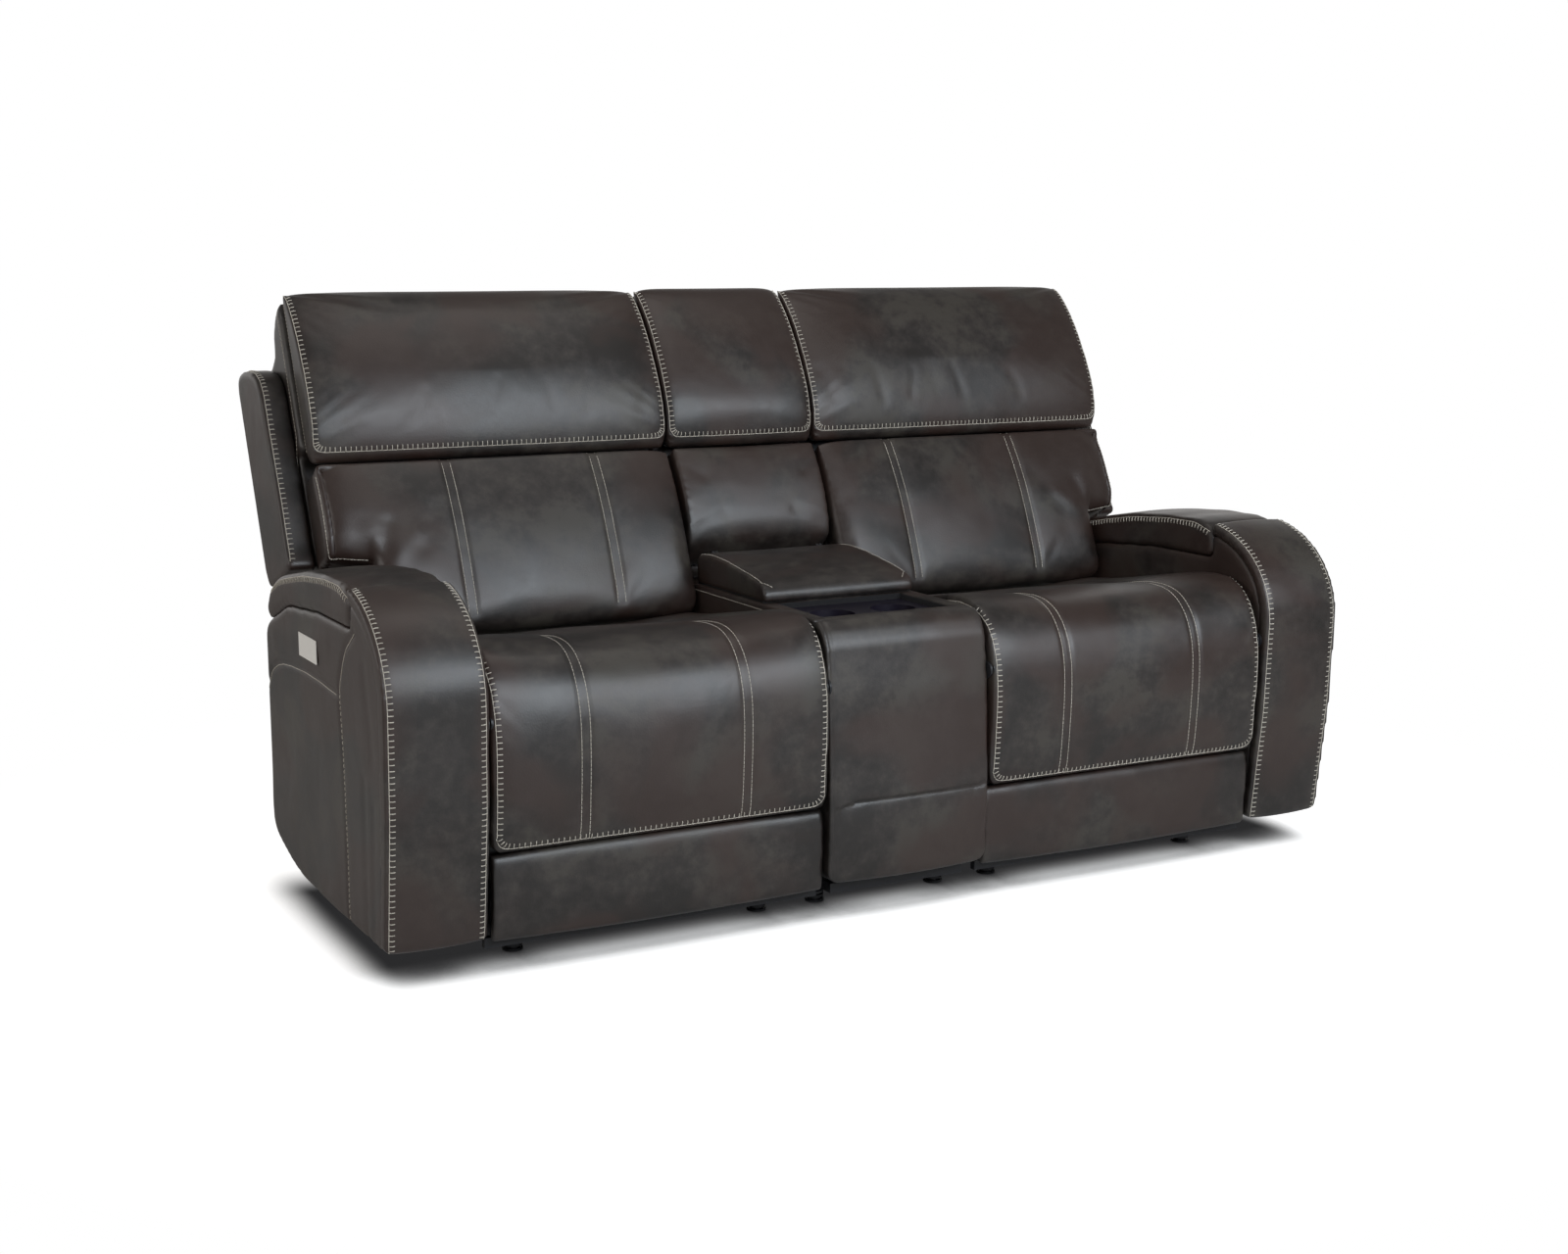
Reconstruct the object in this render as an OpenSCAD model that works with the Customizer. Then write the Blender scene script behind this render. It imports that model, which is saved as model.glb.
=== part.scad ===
// Two-seat reclining sofa with a console between the seats.
// Each piece is drawn in place: X runs along the sofa, Y to the rear, Z up, in millimetres.
// The origin is on the floor, under the middle of the sofa.
// Side profiles are drawn in the Y-Z plane, with Y counted from the foot of the arm's front.

/* [Overall] */
// Width of one seat, from its arm to the console
seat_w = 644; // [600:2:720]
// Width of an arm
arm_w = 178; // [140:2:220]
// Width of the console
console_w = 336; // [320:2:400]
// Height of the covers above the floor
floor_gap = 60; // [56:1:70]

/* [Arms] */
// Height of an arm
arm_h = 650; // [630:1:680]
// Distance from the front to the rear end of an arm
arm_rear = 700; // [696:1:704]
// How far the arm's front bulges forward of its foot
arm_bulge = 20; // [10:1:26]
// Depth of the arch at the arm's front top
arch_d = 216; // [200:1:230]
// Height of the arch at the arm's front top
arch_h = 182; // [150:1:200]
// Thickness of the padded panel on the arm's front
arm_panel_t = 24; // [16:1:30]
// Rear end of the front panel on the arm's top
arm_panel_end = 158; // [140:1:176]
// Thickness of the arm's top pad at its front
arm_pad_t = 73; // [60:1:90]

/* [Seats] */
// Height of the seat at its front
seat_h = 538; // [525:1:545]
// Fall of the seat's top towards the back
seat_fall = 56; // [44:1:60]
// Side clearance between a seat pad and the bay it fits
pad_side = 13; // [11:1:20]
// Top of the seat frame's rails
rail_top = 392; // [384:1:398]
// Height of the side rails of the seat frame
rail_h = 72; // [60:1:80]
// Thickness of the seat frame's rails
rail_t = 18; // [15:1:22]
// Front of the seat frame
frame_front = 60; // [58:1:66]
// Rear end of the seat frame's side rails
frame_rear = 628; // [626:1:632]
// Distance of the double stitching from a seat's middle
band_x = 152; // [120:1:180]

/* [Footrest] */
// Distance of the footrest's hinge behind the arm's foot
hinge_y = 8; // [4:1:9]
// Height of the footrest's hinge
hinge_z = 430; // [424:1:432]
// Radius of the padded roll around the footrest's hinge
hinge_r = 30; // [27:1:31]
// Distance of the chaise pad's front face from the footrest's hinge
hinge_front = 18; // [16:1:22]
// Bottom edge of the chaise pad
chaise_bottom = 206; // [190:1:230]
// Bottom of the kick panel
kick_bottom = 52; // [50:1:60]
// Thickness of the footrest board
board_t = 12; // [9:1:14]

/* [Backs] */
// Lean of the backs from upright, in degrees
lean = 24; // [22:0.5:26]
// Distance of the back's pivot behind the arm's foot
pivot_y = 600; // [598:1:603]
// Height of the back's pivot
pivot_z = 430; // [426:1:434]
// Height of a back along its slope, from the pivot to the crest
back_len = 727; // [700:1:760]
// Bottom of the headrest pillow along the slope
head_base = 402; // [396:1:410]
// Thickness of the lumbar cushion
lumbar_t = 103; // [90:1:106]
// How far the upper back reaches out over the arm
over_arm = 84; // [60:1:110]
// Width of the wing beside the back
wing_w = 54; // [40:1:56]
// Rear face of the back, measured square to its slope
back_rear = 156; // [146:1:166]

/* [Console] */
// Height of the console's rim
rim_z = 542; // [534:1:548]
// Wall thickness of the console box
box_t = 18; // [12:1:22]
// Front end of the lid
lid_front = 265; // [240:1:290]
// Rear end of the lid
lid_rear = 551; // [540:1:553]
// Height of the lid over the rim at its rear
lid_t = 60; // [50:1:64]
// Diameter of a cup well
cup_d = 86; // [76:1:92]
// Depth of a cup well
cup_depth = 70; // [50:1:80]

/* [Steel] */
// Thickness of the steel side plates
plate_t = 4; // [3:0.5:5]
// Diameter of the footrest's hinge pins
pin_d = 10; // [8:0.5:12]
// Diameter of the back's pivot pins
pivot_d = 12; // [10:0.5:14]
// Running clearance on the radius of a pin
run = 0.06; // [0.03:0.01:0.1]
// Gap between a soft piece and its neighbour
gap = 0.3; // [0.2:0.05:0.6]
// Width of a base rail
base_w = 24; // [20:1:30]
// Height of a base rail
base_h = 18; // [14:1:18]
// Height of a glide
glide_h = 36; // [32:1:40]
// Diameter of a glide
glide_d = 36; // [28:1:44]
// Diameter of the drive shaft
shaft_d = 22; // [18:1:26]
// Thickness of the cranks and links
link_t = 5; // [4:0.5:6]
// Diameter of a ram
ram_d = 14; // [10:1:16]

/* [Hidden] */
$fn = 48;

leather = [0.22, 0.2, 0.18];
steel = [0.12, 0.12, 0.13];
plywood = [0.78, 0.64, 0.45];
plastic = [0.08, 0.08, 0.1];
zinc = [0.6, 0.6, 0.62];
linen = [0.86, 0.85, 0.82];

half_seat = seat_w / 2;
seat_x = console_w / 2 + half_seat;
half_pad = half_seat - pad_side;
arm_front = -arm_bulge;
pad_base = rail_top + gap;
split_z = hinge_z + hinge_r + 2;
arm_pad_z = arm_h - arm_pad_t;

// A point of the back: u is square to its slope, v runs up the slope from the pivot.
function bk(u, v) = [pivot_y + u * cos(lean) + v * sin(lean),
    pivot_z - u * sin(lean) + v * cos(lean)];
function bk_all(pts) = [for (p = pts) len(p) > 2 ? concat(bk(p[0], p[1]), [p[2]]) : bk(p[0], p[1])];

// The whole sofa's front and rear, which the origin lies midway between.
sofa_front = min(arm_front, hinge_y - hinge_front - 4);
sofa_rear = bk(back_rear - 10, 622)[0];
mid_y = (sofa_front + sofa_rear) / 2;

function ellipse(c, r, a0, a1, n) =
    [for (i = [0:n]) let (a = a0 + (a1 - a0) * i / n) [c[0] + r[0] * cos(a), c[1] + r[1] * sin(a)]];

module put() translate([0, -mid_y, 0]) children();
module at_left() put() translate([-seat_x, 0, 0]) children();
module at_right() put() mirror([1, 0, 0]) translate([-seat_x, 0, 0]) children();
module both_seats() {
    at_left() children();
    at_right() children();
}
module both_sides() {
    children();
    mirror([1, 0, 0]) children();
}

// A Y-Z profile drawn out along X.
module slab(x0, x1) translate([x0, 0, 0]) rotate([90, 0, 90]) linear_extrude(x1 - x0) children();
module rod(x0, x1, at, d) slab(x0, x1) translate(at) circle(d = d);
module block(lo, hi) translate(lo) cube(hi - lo);

// A flat bar with round ends from a to b, with a hole at each end where its size isn't 0.
module bar_2d(a, b, w, hole_a, hole_b) {
    along = (b - a) / norm(b - a);
    side = [-along[1], along[0]] * w / 2;
    difference() {
        union() {
            polygon([a + side, b + side, b - side, a - side]);
            translate(a) circle(d = w);
            translate(b) circle(d = w);
        }
        if (hole_a > 0) translate(a) circle(d = hole_a);
        if (hole_b > 0) translate(b) circle(d = hole_b);
    }
}

// Soft forms: a closed profile with points [y, z, share], swept along X through stations [x, draw].
// The draw pulls a point in square to the profile, by its share; a negative draw swells it.
function drawn(P, d) = [for (i = [0:len(P) - 1])
    let (
        a = P[(i + len(P) - 1) % len(P)],
        b = P[(i + 1) % len(P)],
        t = [b[0] - a[0], b[1] - a[1]],
        n = [-t[1], t[0]] / norm(t)
    ) [P[i][0] + n[0] * d * P[i][2], P[i][1] + n[1] * d * P[i][2]]];
function middle(P) = [for (k = [0, 1]) [for (p = P) p[k]] * [for (p = P) 1] / len(P)];

module soft_form(P, S) {
    n = len(P);
    m = len(S);
    rings = [for (s = S) for (p = drawn(P, s[1])) [s[0], p[0], p[1]]];
    c0 = middle(drawn(P, S[0][1]));
    c1 = middle(drawn(P, S[m - 1][1]));
    sides = [for (k = [0:m - 2]) for (i = [0:n - 1])
        let (j = (i + 1) % n, a = k * n + i, b = k * n + j, c = a + n, d = b + n)
        each [[a, c, d], [a, d, b]]];
    caps = [for (i = [0:n - 1])
        let (j = (i + 1) % n)
        each [[m * n, i, j], [m * n + 1, (m - 1) * n + j, (m - 1) * n + i]]];
    polyhedron(concat(rings, [[S[0][0], c0[0], c0[1]], [S[m - 1][0], c1[0], c1[1]]]),
        concat(sides, caps));
}

// Stations of a crowned cushion: drawn in by edge at both ends, swollen by crown in the middle.
function crowned(x0, x1, crown, edge) =
    [for (t = [0, 0.02, 0.06, 0.15, 0.3, 0.5, 0.7, 0.85, 0.94, 0.98, 1])
        [x0 + (x1 - x0) * t, edge * pow(abs(2 * t - 1), 16) - crown * (1 - pow(2 * t - 1, 2))]];
// The same with two sewn channels, at band_x from the middle.
channel = 4;
function channelled(half, crown, edge) =
    let (marks = [1, 0.97, 0.88, 0.7, (band_x + 16) / half, band_x / half, (band_x - 16) / half, 0.25])
    [for (s = concat([for (m = marks) -m], [0], [for (i = [7:-1:0]) marks[i]]))
        [half * s, edge * pow(abs(s), 16) - crown * (1 - s * s)
            + (abs(abs(s) * half - band_x) < 1 ? channel : 0)]];

// Arms
arch_c = [arm_front + arch_d, arm_h - arch_h];
function arm_face(t) = concat([[arm_front + 36 + t, floor_gap], [arm_front + 8 + t, arch_c[1] - 181]],
    ellipse(arch_c, [arch_d - t, arch_h - t], 180, 90, 14));
function arm_face_cut(t) = [for (p = arm_face(t)) if (p[0] < arm_panel_end) p];
function arch_z(y, t) =
    arch_c[1] + (arch_h - t) * sqrt(1 - pow((arch_c[0] - y) / (arch_d - t), 2));
crease = [[arm_panel_end, arm_pad_z], [360, arm_pad_z], [545, arm_pad_z - 15],
    [arm_rear - 28, arm_pad_z - 60], [arm_rear, arm_pad_z - 77]];
arm_x0 = -half_seat - arm_w;
label_at = [406, arm_h - 143];
label_size = [110, 42];
label_t = 1;

module arm() {
    t = arm_panel_t + gap;
    cut = concat(arm_face_cut(t), [[arm_panel_end, arch_z(arm_panel_end, t)]], crease);
    foot = [[arm_rear, 137], [arm_rear - 53, 101], [arm_rear - 81, 92], [arm_rear - 100, floor_gap]];
    color(leather) difference() {
        slab(arm_x0, -half_seat) polygon(concat(cut, foot));
        label_box();
    }
}
module label_box() block([arm_x0 - 1, label_at[0] - label_size[0] / 2, label_at[1] - label_size[1] / 2],
    [arm_x0 + label_t, label_at[0] + label_size[0] / 2, label_at[1] + label_size[1] / 2]);
module arm_panel() color(leather) slab(arm_x0, -half_seat) polygon(concat(arm_face_cut(0),
    [[arm_panel_end, arch_z(arm_panel_end, 0)], [arm_panel_end, arch_z(arm_panel_end, arm_panel_t)]],
    [for (i = [len(arm_face_cut(arm_panel_t)) - 1:-1:0]) arm_face_cut(arm_panel_t)[i]]));
module arm_pad() {
    up = [0, gap];
    y0 = arm_panel_end + gap + 1;
    under = [[y0, arm_pad_z + gap, 0], for (i = [1:3]) concat(crease[i] + up, [0])];
    top = [[arm_rear - 14, arm_h - 108, 0.6], [arm_rear - 46, arm_h - 66, 1],
        [arm_rear - 104, arm_h - 42, 1], [arm_rear - 180, arm_h - 27, 1], [429, arm_h - 12, 1],
        [308, arm_h - 1, 1], [y0 + 60, arm_h, 1], [y0 + 20, arm_h - 8, 0.8], [y0, arm_h - 28, 0.3]];
    color(leather) soft_form(concat(under, top), crowned(arm_x0 + 2, -half_seat - 2, 3, 9));
}

// Seat and chaise pads
module seat_pad() {
    seat_rear = 566;
    z2 = seat_h - seat_fall;
    y_step = frame_front - 3;
    P = [[hinge_y - 10, split_z, 0], [y_step, split_z, 0], [y_step, pad_base, 0], [220, pad_base, 0],
        [400, pad_base, 0], [seat_rear - 4, pad_base, 0], [seat_rear, 420, 0.3],
        [seat_rear - 4, 450, 0.6], [seat_rear - 22, z2 - 12, 1], [480, z2, 1], [420, z2 + 7, 1],
        [340, z2 + 20, 1], [245, z2 + 34, 1], [165, seat_h - 5, 1], [110, seat_h, 1],
        [70, seat_h - 5, 1], [38, seat_h - 20, 1], [hinge_y + 4, seat_h - 42, 1],
        [hinge_y - hinge_front + 4, split_z + 6, 0.4]];
    color(leather) soft_form(P, channelled(half_pad, 4, 9));
}
module chaise_pad() {
    h = [hinge_y, hinge_z];
    back_y = hinge_y + hinge_r - gap;
    arc = [for (a = [0:36:180])
        h + [(a < 90 ? hinge_r - gap : hinge_front) * cos(a), (hinge_r - gap) * sin(a)]];
    front = hinge_y - hinge_front;
    P = concat([[front + 16, chaise_bottom + 2, 0.4], [back_y, chaise_bottom, 0],
        [back_y, 300, 0]], [for (p = arc) concat(p, [0])],
        [[front - 1, 400, 1], [front, 350, 1], [front + 3, 300, 1], [front + 6, 250, 1],
        [front + 7, chaise_bottom + 12, 0.8]]);
    color(leather) soft_form(P, channelled(half_pad, 3, 9));
}
module kick_panel() {
    back_y = hinge_y + hinge_r - gap;
    top = chaise_bottom - 3;
    P = [[hinge_y + 14, kick_bottom, 0.3], [back_y, kick_bottom, 0], [back_y, top, 0],
        [hinge_y + 16, top, 0.3], [hinge_y + 8, top - 8, 1], [hinge_y + 5, top - 24, 1],
        [hinge_y + 6, 120, 1], [hinge_y + 9, kick_bottom + 16, 1]];
    color(leather) soft_form(P, crowned(-half_pad + 4, half_pad - 4, 3, 5));
}

// Footrest: the board and the hinge plates that carry it, and the lugs that the links push.
board_y = hinge_y + hinge_r;
side_x = half_seat - plate_t;
rest_plate_x = side_x - plate_t - 3;
lug_at = [80, 270];
shaft_at = [208, 320];
crank = lug_at - [hinge_y, hinge_z];
crank_at = shaft_at + crank;
crank_x = 236;
link_x = crank_x + link_t + 1;
lug_x = link_x + link_t + 1;
link_pin = 8;
module footrest_board() color(steel) {
    block([-rest_plate_x, board_y, kick_bottom + 8], [rest_plate_x, board_y + board_t, hinge_z + 10]);
    both_sides() {
        slab(rest_plate_x, rest_plate_x + plate_t) {
            translate([hinge_y, hinge_z]) circle(d = 28);
            polygon([[hinge_y - 12, hinge_z - 8], [hinge_y + 11, hinge_z + 8],
                [board_y + board_t, hinge_z - 20], [board_y + board_t, hinge_z - 130],
                [board_y, hinge_z - 130]]);
        }
        rod(rest_plate_x + 1, half_seat - 0.5, [hinge_y, hinge_z], pin_d);
        slab(lug_x, lug_x + link_t) difference() {
            union() {
                translate(lug_at) circle(d = 28);
                polygon([[board_y + board_t, 300], [board_y + board_t, 240],
                    lug_at + [0, -14], lug_at + [0, 14]]);
            }
            translate(lug_at) circle(d = link_pin + 2 * gap);
        }
    }
}

// Seat frame, springs and steel
rear_rail_y = 500;
module seat_frame() color(plywood) {
    inner = side_x - rail_t;
    both_sides() block([inner, frame_front, rail_top - rail_h], [side_x, frame_rear, rail_top]);
    block([-inner, frame_front, rail_top - rail_h], [inner, frame_front + rail_t, rail_top]);
    block([-inner, rear_rail_y, rail_top - 52], [inner, rear_rail_y + rail_t, rail_top]);
}
wire = 4;
spring_count = 5;
turn_count = 8;
spring_reach = 18;
module spring_2d(length) {
    step = length / turn_count;
    for (i = [0:turn_count - 1]) translate([step * (i + 0.5), 0]) {
        up = i % 2 == 0;
        for (x = [-step / 2, step / 2]) translate([x - wire / 2, up ? 0 : -spring_reach])
            square([wire, spring_reach]);
        translate([0, up ? spring_reach : -spring_reach]) difference() {
            circle(d = step + wire);
            circle(d = step - wire);
            translate([-step, up ? -step : 0]) square([2 * step, step]);
        }
    }
}
module springs() color(zinc) {
    y0 = frame_front + rail_t + wire / 2;
    pitch = 2 * (side_x - rail_t) / spring_count;
    for (i = [0:spring_count - 1])
        translate([pitch * (i - (spring_count - 1) / 2), y0, rail_top - wire - 1])
            linear_extrude(wire) rotate(90) spring_2d(rear_rail_y - y0 - wire / 2);
}

// Steel side plates, the bearings of the drive shaft and the tray that the motors stand on
leg_front = [96, 150];
leg_rear = [540, 600];
module side_plate() {
    hinge = [hinge_y, hinge_z];
    pivot = [pivot_y, pivot_z];
    slab(side_x, half_seat) difference() {
        union() {
            translate(hinge) circle(d = 28);
            polygon([hinge + [-8, -11], [frame_front + 60, rail_top - 50], [frame_front + 60, rail_top],
                hinge + [8, 16]]);
            polygon([[frame_front, rail_top - rail_h], [frame_rear, rail_top - rail_h],
                [frame_rear, rail_top], [frame_front, rail_top]]);
            translate(pivot) circle(d = 48);
            polygon([[pivot_y - 24, rail_top - 4], [pivot_y + 24, rail_top - 4],
                pivot + [24, 0], pivot + [-24, 0]]);
        }
        translate(hinge) circle(d = pin_d + 2 * run);
        translate(pivot) circle(d = pivot_d + 2 * run);
    }
}
bearing_t = 6;
tray_z = 282;
tray_t = 8;
tray_y = [330, 410];
module mechanism_plates() color(steel) {
    inner = side_x - rail_t;
    both_sides() {
        side_plate();
        for (leg = [leg_front, leg_rear])
            block([side_x, leg[0], glide_h], [half_seat, leg[1], rail_top - rail_h - gap]);
        slab(inner - bearing_t, inner) difference() {
            translate([shaft_at[0] - 28, shaft_at[1] - 24]) square([56, rail_top - shaft_at[1] + 20]);
            translate(shaft_at) circle(d = shaft_d + 2 * run);
        }
        block([inner - bearing_t, tray_y[0], tray_z], [inner, tray_y[1], rail_top - 6]);
    }
    block([-inner + bearing_t, tray_y[0], tray_z], [inner - bearing_t, tray_y[1], tray_z + tray_t]);
}

// Base rails on glides: a pair of runners and two cross rails under each seat, a pair under the console
runner_x = 238;
front_rail_y = 44;
front_rail_t = 14;
glide_y = [126, 572];
console_runner_x = 130;
module seat_rails() {
    both_sides() {
        block([runner_x - base_w / 2, front_rail_y, glide_h],
            [runner_x + base_w / 2, 606, glide_h + base_h]);
    }
    block([-side_x, front_rail_y, glide_h], [side_x, front_rail_y + front_rail_t, glide_h + base_h]);
    for (y = [leg_front[0] + 12, leg_rear[0] + 12]) {
        block([-runner_x + base_w / 2, y, glide_h], [runner_x - base_w / 2, y + base_w, glide_h + base_h]);
        both_sides()
            block([runner_x + base_w / 2, y, glide_h], [side_x, y + base_w, glide_h + base_h]);
    }
}
box_floor = 74;
module base_rails() color(steel) {
    both_seats() seat_rails();
    put() both_sides() block([console_runner_x - base_w / 2, front_rail_y, glide_h],
        [console_runner_x + base_w / 2, 606, glide_h + base_h]);
    put() both_sides() block([console_runner_x - base_w / 2, 70, glide_h + base_h],
        [console_runner_x + base_w / 2, 606, box_floor]);
    put() block([-console_runner_x, front_rail_y, glide_h],
        [console_runner_x, front_rail_y + front_rail_t, glide_h + base_h]);
}
module glide() {
    ribs = 3;
    rib_h = 5;
    cylinder(d = glide_d, h = 4);
    cylinder(d = glide_d - 10, h = glide_h);
    for (i = [1:ribs]) translate([0, 0, i * (rib_h + 3)]) cylinder(d = glide_d - 2, h = rib_h);
}
module glides() color(plastic) {
    both_seats() both_sides() for (y = glide_y) translate([runner_x, y, 0]) glide();
    put() both_sides() for (y = glide_y) translate([console_runner_x, y, 0]) glide();
}

// Drive shaft with two cranks and the lever that the ram pushes
lever_r = 60;
lever_swing = 42.5;
lever_x = -66;
lever_at = shaft_at + lever_r * [sin(lever_swing), -cos(lever_swing)];
module drive_shaft() color(steel) {
    rod(-side_x + rail_t + 0.5, side_x - rail_t - 0.5, shaft_at, shaft_d);
    both_sides() {
        slab(crank_x, crank_x + link_t) bar_2d(shaft_at, crank_at, 28, 0, 0);
        rod(crank_x + 1, link_x + link_t + 0.5, crank_at, link_pin);
    }
    slab(lever_x, lever_x + link_t) bar_2d(shaft_at, lever_at, 26, 0, 0);
}
module push_links() color(steel) both_sides() {
    slab(link_x, link_x + link_t) bar_2d(crank_at, lug_at, 22, link_pin + 2 * run, 0);
    rod(link_x + 1, lug_x + link_t, lug_at, link_pin);
}

// Linear drives: the motor stands on its tray, and the ram slides in the guide tube.
ram_z = shaft_at[1] - 52;
ram_x = lever_x + link_t + 14;
recline_x = 60;
recline_z = tray_z + tray_t + 28;
recline_end = 612;
tube_wall = 5;
motor_w = 60;
motor_h = 60;
ram_len = 180;
module guide(x, z, y0, y1) difference() {
    union() {
        translate([x, y0, z]) rotate([-90, 0, 0]) cylinder(d = ram_d + 2 * tube_wall, h = y1 - y0);
        children();
    }
    translate([x, y0 - 1, z]) rotate([-90, 0, 0]) cylinder(d = ram_d + 2 * run, h = 1000);
}
module drive_unit() color(plastic) {
    low = tray_z - motor_h;
    guide(ram_x, ram_z, 296, 360)
        block([ram_x - motor_w / 2, tray_y[0], low], [ram_x + motor_w / 2, tray_y[1], tray_z]);
    difference() {
        union() {
            block([recline_x - motor_w / 2, tray_y[0], tray_z + tray_t],
                [recline_x + motor_w / 2, tray_y[1], tray_z + tray_t + motor_h]);
            translate([recline_x, tray_y[0], recline_z]) rotate([-90, 0, 0])
                cylinder(d = ram_d + 2 * tube_wall, h = 522 - tray_y[0]);
        }
        translate([recline_x, tray_y[0] + 20, recline_z]) rotate([-90, 0, 0])
            cylinder(d = ram_d + 2 * run, h = 1000);
    }
}
module footrest_ram() color(zinc) {
    translate([ram_x, lever_at[0], ram_z]) rotate([-90, 0, 0]) cylinder(d = ram_d, h = ram_len);
    block([ram_x - 10, lever_at[0] - 12, ram_z - 12], [ram_x + 10, lever_at[0] + 12, ram_z + 12]);
    rod(lever_x + link_t + 1, ram_x, [lever_at[0], ram_z], pin_d);
}
module recline_ram() color(zinc) {
    translate([recline_x, recline_end - ram_len, recline_z]) rotate([-90, 0, 0])
        cylinder(d = ram_d, h = ram_len);
    block([recline_x - 10, recline_end - 10, recline_z - 10],
        [recline_x + 10, recline_end + 10, recline_z + 10]);
    rod(recline_x, recline_x + 16, [recline_end, recline_z], pin_d);
}

// Back frame: board, pivot plates with pins, torque tube, lever and the headrest's hinge ears
head_pivot_uv = [-80, head_base];
head_pivot = bk(head_pivot_uv[0], head_pivot_uv[1]);
ear_x = 199;
ear_t = 6;
head_pin = 10;
back_board = [-20, -8];
module back_frame() color(steel) {
    pivot = [pivot_y, pivot_z];
    slab(-side_x + 6, side_x - 6)
        polygon(bk_all([[back_board[0], 44], [back_board[1], 44],
            [back_board[1], head_base + 8], [back_board[0], head_base + 8]]));
    both_sides() {
        slab(side_x - 6, side_x - 2) {
            translate(pivot) circle(d = 44);
            polygon(bk_all([[-20, 0], [10, 0], [back_board[1], 40], [back_board[1], 160],
                [back_board[0], 160]]));
        }
        rod(side_x - 3, half_seat - 0.5, pivot, pivot_d);
        slab(ear_x, ear_x + ear_t) difference() {
            union() {
                translate(head_pivot) circle(d = 22);
                polygon(bk_all([[back_board[0] + 4, head_base - 22], [back_board[0] + 4, head_base + 8],
                    [head_pivot_uv[0], head_base + 10], [head_pivot_uv[0], head_base - 10]]));
            }
            translate(head_pivot) circle(d = head_pin + 2 * run);
        }
    }
    rod(-side_x + 6, side_x - 6, pivot, 25);
    slab(recline_x + 17, recline_x + 22) bar_2d(pivot, [recline_end, recline_z], 24, 0, 0);
}

// Back covers
shell_front = -8;
pad_face = -32;
shell_side = side_x;
function shell_top(r, f) = [[r, 300], [r, 590], [r - 14, 612], [50, head_base + 238],
    [42, head_base + 273], [4, back_len - 19], [f, back_len - 11], [f, head_base + 12],
    [shell_front, head_base + 12]];
module back_shell() color(leather) {
    x_in = half_seat - 2;
    slab(-shell_side, x_in) polygon(bk_all(concat([[shell_front, 44], [back_rear - 18, 40],
        [back_rear - 18, -10], [back_rear - 6, -10]], shell_top(back_rear, pad_face))));
    slab(-half_seat - over_arm, -shell_side)
        polygon(bk_all(concat([[shell_front, 190], [back_rear - 6, 194]], shell_top(back_rear, pad_face))));
}
module bolster() color(leather) slab(-half_seat - over_arm + 2, -half_seat + 2) polygon(bk_all([
    [shell_front - gap, 188], [-60, 184], [-86, 188], [-102, 204], [-111, 240], [-114, 300],
    [-112, 344], [-104, 358], [-60, 366], [shell_front - gap, 368]]));
module wing() color(leather) slab(-half_seat - over_arm - wing_w, -half_seat - over_arm) polygon(bk_all([
    [-22, 188], [60, 184], [back_rear - 17, 196], [back_rear - 4, 230], [back_rear - 4, 600],
    [back_rear - 10, 622], [back_rear - 26, 632], [90, 626], [40, 604], [8, 574], [-4, 540],
    [-4, 470], [-8, 400], [-12, 318], [-12, 230]]));
lumbar_back = back_board[0] - gap;
lumbar_front = lumbar_back - lumbar_t;
function lumbar_profile(front, back, low) = bk_all([[front + 20, low, 0.4], [-60, low - 6, 0],
    [back, low, 0], [back, 150 + low / 2, 0], [back, head_base - 44, 0], [-50, head_base - 40, 0],
    [front + 30, head_base - 38, 0.2], [front + 9, head_base - 42, 0.6],
    [front + 3, head_base - 66, 1], [front, head_base - 112, 1], [front - 2, 230 + low / 4, 1],
    [front, 150 + low / 2, 1], [front + 2, 60 + low, 1], [front + 7, 20 + low, 0.8]]);
module lumbar() color(leather) soft_form(lumbar_profile(lumbar_front, lumbar_back, 30),
    channelled(half_seat - 4, 4, 8));

// Headrest pillow: round about its hinge below, fuller at the front, with its crest at the top.
head_back = -46 - gap;
function head_profile() = bk_all([[-104, head_base - 19, 0.2], [-80, head_base - 21, 0],
    [-62, head_base - 18, 0], [head_back, head_base - 8, 0], [head_back, 540, 0],
    [head_back, back_len - 16, 0], [-54, back_len, 0.2], [-68, back_len - 7, 0.5],
    [-80, back_len - 27, 1], [-91, back_len - 59, 1], [-102, back_len - 97, 1],
    [-110, back_len - 142, 1], [-114, back_len - 197, 1], [-115, back_len - 257, 1],
    [-114, head_base + 20, 1], [-110, head_base - 8, 0.5]]);
module headrest() color(leather) difference() {
    soft_form(head_profile(), crowned(-half_seat - over_arm + 2, half_seat - 2, 13, 6));
    both_sides() slab(ear_x - 11, ear_x + ear_t + 7) polygon(bk_all([[-98, head_base - 40],
        [-40, head_base - 40], [-40, head_base + 46], [-56, head_base + 40], [-98, head_base + 16]]));
}
lug_t = 4;
module headrest_board() color(plywood) {
    x_lug = ear_x - 1 - lug_t;
    slab(-half_seat + 30, half_seat - 30) polygon(bk_all([[-46, head_base + 24], [-34, head_base + 24],
        [-34, back_len - 40], [-46, back_len - 40]]));
    both_sides() {
        slab(x_lug, x_lug + lug_t) {
            translate(head_pivot) circle(d = 22);
            polygon(bk_all([[-84, head_base + 10], [-74, head_base - 9], [-34, head_base + 24],
                [-34, head_base + 40], [-46, head_base + 40]]));
        }
        rod(x_lug + 1, ear_x + ear_t + 3, head_pivot, head_pin);
    }
}

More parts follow.
